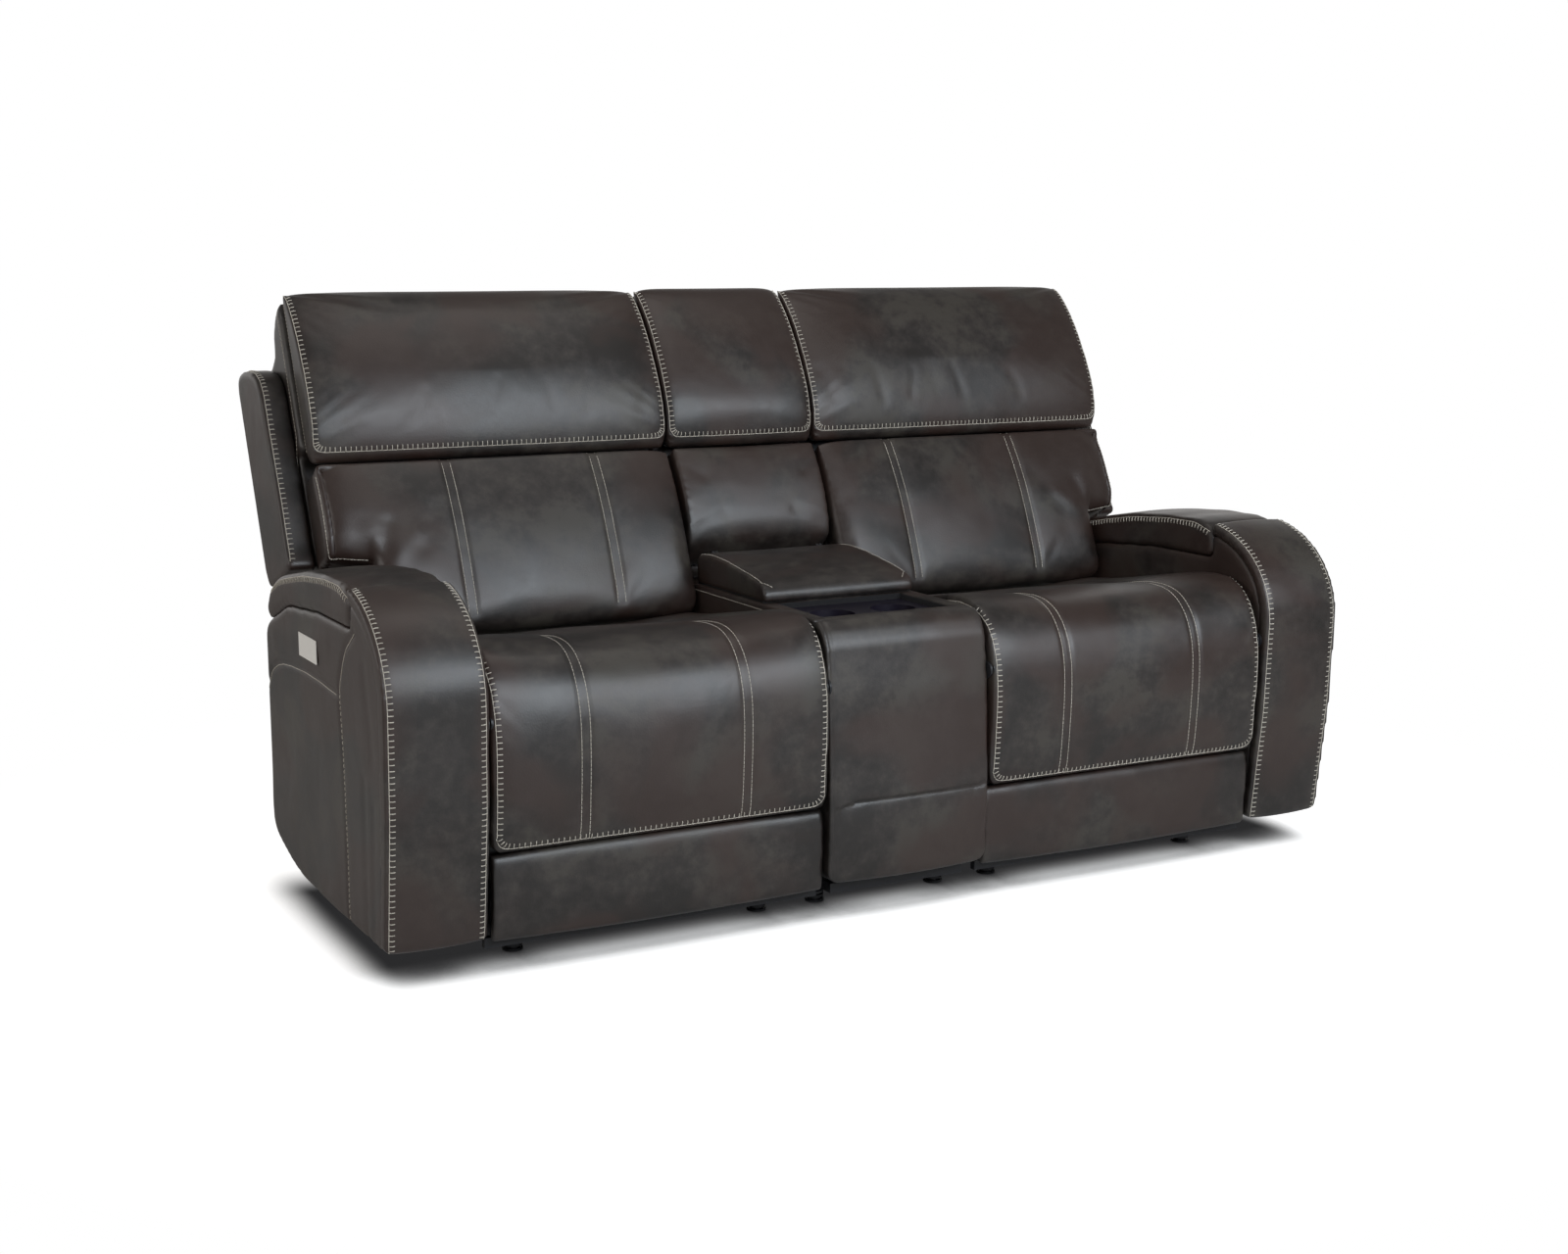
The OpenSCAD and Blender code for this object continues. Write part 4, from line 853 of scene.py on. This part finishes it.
FRONT_HALF = 0.169
front_outline = [(8, 66), (61.5, 66), (61.5, 300), (61.5, 540), (50, 541), (30, 527), (16, 501),
                 (5, 410), (0, 300), (-2, 225), (-2, 190), (0, 120), (4, 76)]
front = upholstered(extruded("console_front_cover", [
    (cut_pattern(yz(front_outline), 0.010, 0.005), -FRONT_HALF, FRONT_HALF)]), 0.004, 6)
swollen(front, 0.005, -FRONT_HALF, FRONT_HALF)
rounded_corners(front, 0, FRONT_HALF, 0.066, 0.026)
tuck = [(x, FOOT_Y - 0.004, 0.207 + 0.010 * (1 - math.exp(-((x + 0.154) / 0.03) ** 2))) for x in
        np.linspace(-0.150, 0.162, 12)]
co = points_of(front)
below = co[:, 2] - np.interp(co[:, 0], [p[0] for p in tuck], [p[2] for p in tuck])
depth = np.where(below < 0, 0.0070 * np.exp(below / 0.024), -0.0016 * np.exp(-below / 0.020))
depth *= np.clip((0.160 - np.abs(co[:, 0])) / 0.018, 0, 1) * np.clip(-2 * normals_of(front)[:, 1], 0, 1)
co[:, 1] += depth
put_points(front, co)
pressed(front, [(x, y + 0.002, z) for x, y, z in tuck[1:]], 0.0050, 0.0040)
front_face = yz([(44, 538), (29, 525), (15, 499), (4, 410), (-1, 300), (-3, 200), (-1, 120), (4, 80)])
for dx, deep in ((0.004, -0.0012), (0.011, 0.0022)):
    pressed(front, [(dx - FRONT_HALF, y, z) for y, z in front_face], 0.0035, deep)
finished(front, "base", ["console_front"])

# Console lid: a crowned pad sewn with a side gusset, on a plywood board hinged at its rear.
lid_outline = [(259, 543), (400, 543), (550, 543), (550, 594), (543, 602), (491, 606), (427, 601),
               (324, 587), (283, 579), (266, 571), (258, 558)]
lid_pad = extruded("console_lid_cover", [(cut_pattern(yz(lid_outline), 0.006, 0.005), -0.163, 0.163)])
puffed(lid_pad, lambda co: (co[:, 2] < 0.549) | (np.abs(co[:, 0]) > 0.157) | (co[:, 1] > FOOT_Y + 0.545),
       5.0, 0.016, ((-0.1675, -1, 0.5425), (0.1675, FOOT_Y + 0.5505, 1)), 0.006)
gusset = yz([(545, 600), (491, 604), (427, 599), (324, 585), (288, 578)])
lid_edges = [[(s * 0.158, y, z) for y, z in gusset] for s in (-1, 1)]
corner_lines = [[(s * (0.158 - 0.008 * k), FOOT_Y + 0.288 - 0.009 * k, 0.578 - 0.0050 * k)
                 for k in range(3)] for s in (-1, 1)]
lid_tree = on_skin(lid_pad)
for line in lid_edges:
    pressed(lid_pad, line, 0.004, 0.0014)
    sew("lid", "run", lid_tree, [(p[0] * 0.985, p[1], p[2]) for p in line])
for line in corner_lines:
    sew("lid", "run", lid_tree, line)
finished(lid_pad, "lid", ["lid_cushion"])

# Thread: bonded polyester, pale beige. Top stitching in 6 mm stitches along the channels, and a
# coarse whip stitch of 10 mm pitch that wraps the open edges.
thread, spool = blank_material("bonded polyester thread")
spot = add_node(spool, "ShaderNodeTexCoord").outputs["Object"]
twist = add_node(spool, "ShaderNodeTexNoise", values={"Vector": spot, "Scale": 160.0, "Detail": 2.0})
fibre = add_node(spool, "ShaderNodeMix", {"data_type": "RGBA"}, {
    "Factor": twist.outputs["Fac"], 6: hex_colour("#a39a8b"), 7: hex_colour("#e6dfd2")})
lay = add_node(spool, "ShaderNodeBump", values={
    "Height": twist.outputs["Fac"], "Strength": 0.4, "Distance": 0.0004})
yarn = add_node(spool, "ShaderNodeBsdfPrincipled", values={
    "Base Color": fibre.outputs[2], "Normal": lay, "Roughness": 0.62,
    "Sheen Weight": 0.3, "Sheen Roughness": 0.4})
add_node(spool, "ShaderNodeOutputMaterial", values={"Surface": yarn})


def stitch_tree(name):
    """Geometry Nodes: one arched stitch on every point, turned to the point's run and up."""
    tree = bpy.data.node_groups.new(name, "GeometryNodeTree")
    tree.interface.new_socket("Points", in_out="INPUT", socket_type="NodeSocketGeometry")
    for label in ("Length", "Thickness", "Arch"):
        tree.interface.new_socket(label, in_out="INPUT", socket_type="NodeSocketFloat")
    tree.interface.new_socket("Thread", in_out="INPUT", socket_type="NodeSocketMaterial")
    tree.interface.new_socket("Stitches", in_out="OUTPUT", socket_type="NodeSocketGeometry")
    given = add_node(tree, "NodeGroupInput").outputs
    half = add_node(tree, "ShaderNodeMath", {"operation": "MULTIPLY"}, {0: given["Length"], 1: 0.5})
    back = add_node(tree, "ShaderNodeMath", {"operation": "MULTIPLY"}, {0: half, 1: -1.0})
    sunk = add_node(tree, "ShaderNodeMath", {"operation": "MULTIPLY"}, {0: given["Thickness"], 1: -0.7})
    start = add_node(tree, "ShaderNodeCombineXYZ", values={"X": back, "Z": sunk})
    end = add_node(tree, "ShaderNodeCombineXYZ", values={"X": half, "Z": sunk})
    top = add_node(tree, "ShaderNodeCombineXYZ", values={"Z": given["Arch"]})
    bow = add_node(tree, "GeometryNodeCurveQuadraticBezier", values={
        "Resolution": 4, "Start": start, "Middle": top, "End": end})
    ring = add_node(tree, "GeometryNodeCurvePrimitiveCircle", values={
        "Resolution": 6, "Radius": given["Thickness"]})
    tube = add_node(tree, "GeometryNodeCurveToMesh", values={
        "Curve": bow, "Profile Curve": ring, "Fill Caps": True})
    run = add_node(tree, "GeometryNodeInputNamedAttribute", {"data_type": "FLOAT_VECTOR"}, {"Name": "run"})
    up = add_node(tree, "GeometryNodeInputNamedAttribute", {"data_type": "FLOAT_VECTOR"}, {"Name": "up"})
    along = add_node(tree, "FunctionNodeAlignRotationToVector", {"axis": "X"}, {"Vector": run})
    stood = add_node(tree, "FunctionNodeAlignRotationToVector", {"axis": "Z", "pivot_axis": "X"}, {
        "Rotation": along, "Vector": up})
    placed = add_node(tree, "GeometryNodeInstanceOnPoints", values={
        "Points": given["Points"], "Instance": tube, "Rotation": stood})
    real = add_node(tree, "GeometryNodeRealizeInstances", values={"Geometry": placed})
    dressed = add_node(tree, "GeometryNodeSetMaterial", values={
        "Geometry": real, "Material": given["Thread"]})
    add_node(tree, "NodeGroupOutput", values={"Stitches": dressed})
    return tree


sewing = stitch_tree("arched_stitch")
# Length, thread radius and arch of each kind, in metres.
KINDS = {"run": (0.0058, 0.00064, 0.0010), "line": (0.0060, 0.00068, 0.0006),
         "whip": (WHIP_BAR, 0.00082, 0.0022), "heavy": (0.0062, 0.00090, 0.0014)}
for (holder, kind), spots in sorted(SEWN.items()):
    length, thickness, rise = KINDS[kind]
    cloud = bpy.data.meshes.new("stitch_points")
    cloud.from_pydata([tuple(s[0]) for s in spots], [], [])
    for label, k in (("run", 1), ("up", 2)):
        layer = cloud.attributes.new(label, "FLOAT_VECTOR", "POINT")
        layer.data.foreach_set("vector", np.array([tuple(s[k]) for s in spots], np.float32).ravel())
    piece = in_scene(f"{holder}_{kind}_stitches", cloud)
    needle = piece.modifiers.new("needle", "NODES")
    needle.node_group = sewing
    for label, value in (("Length", length), ("Thickness", thickness), ("Arch", rise), ("Thread", thread)):
        needle[sewing.interface.items_tree[label].identifier] = value
    settled(piece)
    if holder.endswith("seat_cover"):
        side = holder.split("_")[0]
        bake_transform(piece)
    else:
        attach(piece, holder)


# Hard parts: powder-coated steel, zinc-plated rams and springs, plywood, moulded plastic, and a
# woven label left blank. Their CAD shapes stay and take their finishes here.
def plain_finish(name, dark, light, scale, roughness, metallic, bump, depth=0.0005, stretch=(1, 1, 1)):
    made, tree = blank_material(name)
    place = add_node(tree, "ShaderNodeTexCoord").outputs["Object"]
    turned = add_node(tree, "ShaderNodeMapping", values={"Vector": place, "Scale": stretch})
    pattern = add_node(tree, "ShaderNodeTexNoise", values={
        "Vector": turned, "Scale": scale, "Detail": 4.0, "Roughness": 0.55})
    colour = add_node(tree, "ShaderNodeMix", {"data_type": "RGBA"}, {
        "Factor": pattern.outputs["Fac"], 6: hex_colour(dark), 7: hex_colour(light)})
    rough = add_node(tree, "ShaderNodeMapRange", values={
        "Value": pattern.outputs["Fac"], 1: 0.3, 2: 0.7, 3: roughness - 0.05, 4: roughness + 0.06})
    relief = add_node(tree, "ShaderNodeBump", values={
        "Height": pattern.outputs["Fac"], "Strength": bump, "Distance": depth})
    face = add_node(tree, "ShaderNodeBsdfPrincipled", values={
        "Base Color": colour.outputs[2], "Roughness": rough, "Metallic": metallic,
        "Normal": relief})
    add_node(tree, "ShaderNodeOutputMaterial", values={"Surface": face})
    return made


FINISHES = {row[0]: plain_finish(*row) for row in (
    ("powder-coated steel", "#17171a", "#222226", 420, 0.45, 0, 0.25),
    ("zinc-plated steel", "#8f9297", "#b4b7bb", 60, 0.32, 1.0, 0.05),
    ("sawn plywood", "#a98b5e", "#cdb084", 14, 0.6, 0, 0.3, 0.0008, (1, 9, 9)),
    ("black-stained plywood", "#141313", "#211f1e", 14, 0.6, 0, 0.3, 0.0008, (1, 9, 9)),
    ("moulded ABS", "#121216", "#1b1b20", 300, 0.35, 0, 0.1),
    ("glossy tray ABS", "#16131c", "#211c29", 12, 0.32, 0, 0.02),
    ("satin nickel plate", "#9a9b9e", "#b9babd", 90, 0.28, 1.0, 0.05),
    ("woven polyester label", "#dedbd4", "#fbf9f4", 900, 0.75, 0, 0.5),
    ("needled felt lining", "#121113", "#1d1c1e", 260, 0.95, 0, 0.5, 0.0008))}
# A CAD node whose name holds one of these words takes its finish; the others are coated steel.
FINISH_OF = {"label": "woven polyester label", "console_tray": "glossy tray ABS", "glides": "moulded ABS",
             "switch_plates": "moulded ABS", "drive_units": "moulded ABS", "rocker": "satin nickel plate",
             "seat_springs": "zinc-plated steel", "_ram": "zinc-plated steel", "seat_frame": "sawn plywood",
             "lid_board": "black-stained plywood", "headrest_board": "black-stained plywood"}

# Felt lines the tray's pocket and the bin. Its near-black is partly the lining and partly painted shade,
# standing in for the shade under the lid's front edge.
console_box.data.materials.append(FINISHES["needled felt lining"])
for face in console_box.data.polygons:
    x, y, z = face.center
    if abs(x) < 0.150 and FOOT_Y + 0.084 < y < FOOT_Y + 0.541 and 0.24 < z < 0.5395:
        face.material_index = 1

for node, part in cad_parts.items():
    if not part.hide_render:
        coat = FINISHES[next((FINISH_OF[word] for word in FINISH_OF if word in node), "powder-coated steel")]
        if part.data.materials:
            for i in range(len(part.data.materials)):
                part.data.materials[i] = coat
        else:
            part.data.materials.append(coat)
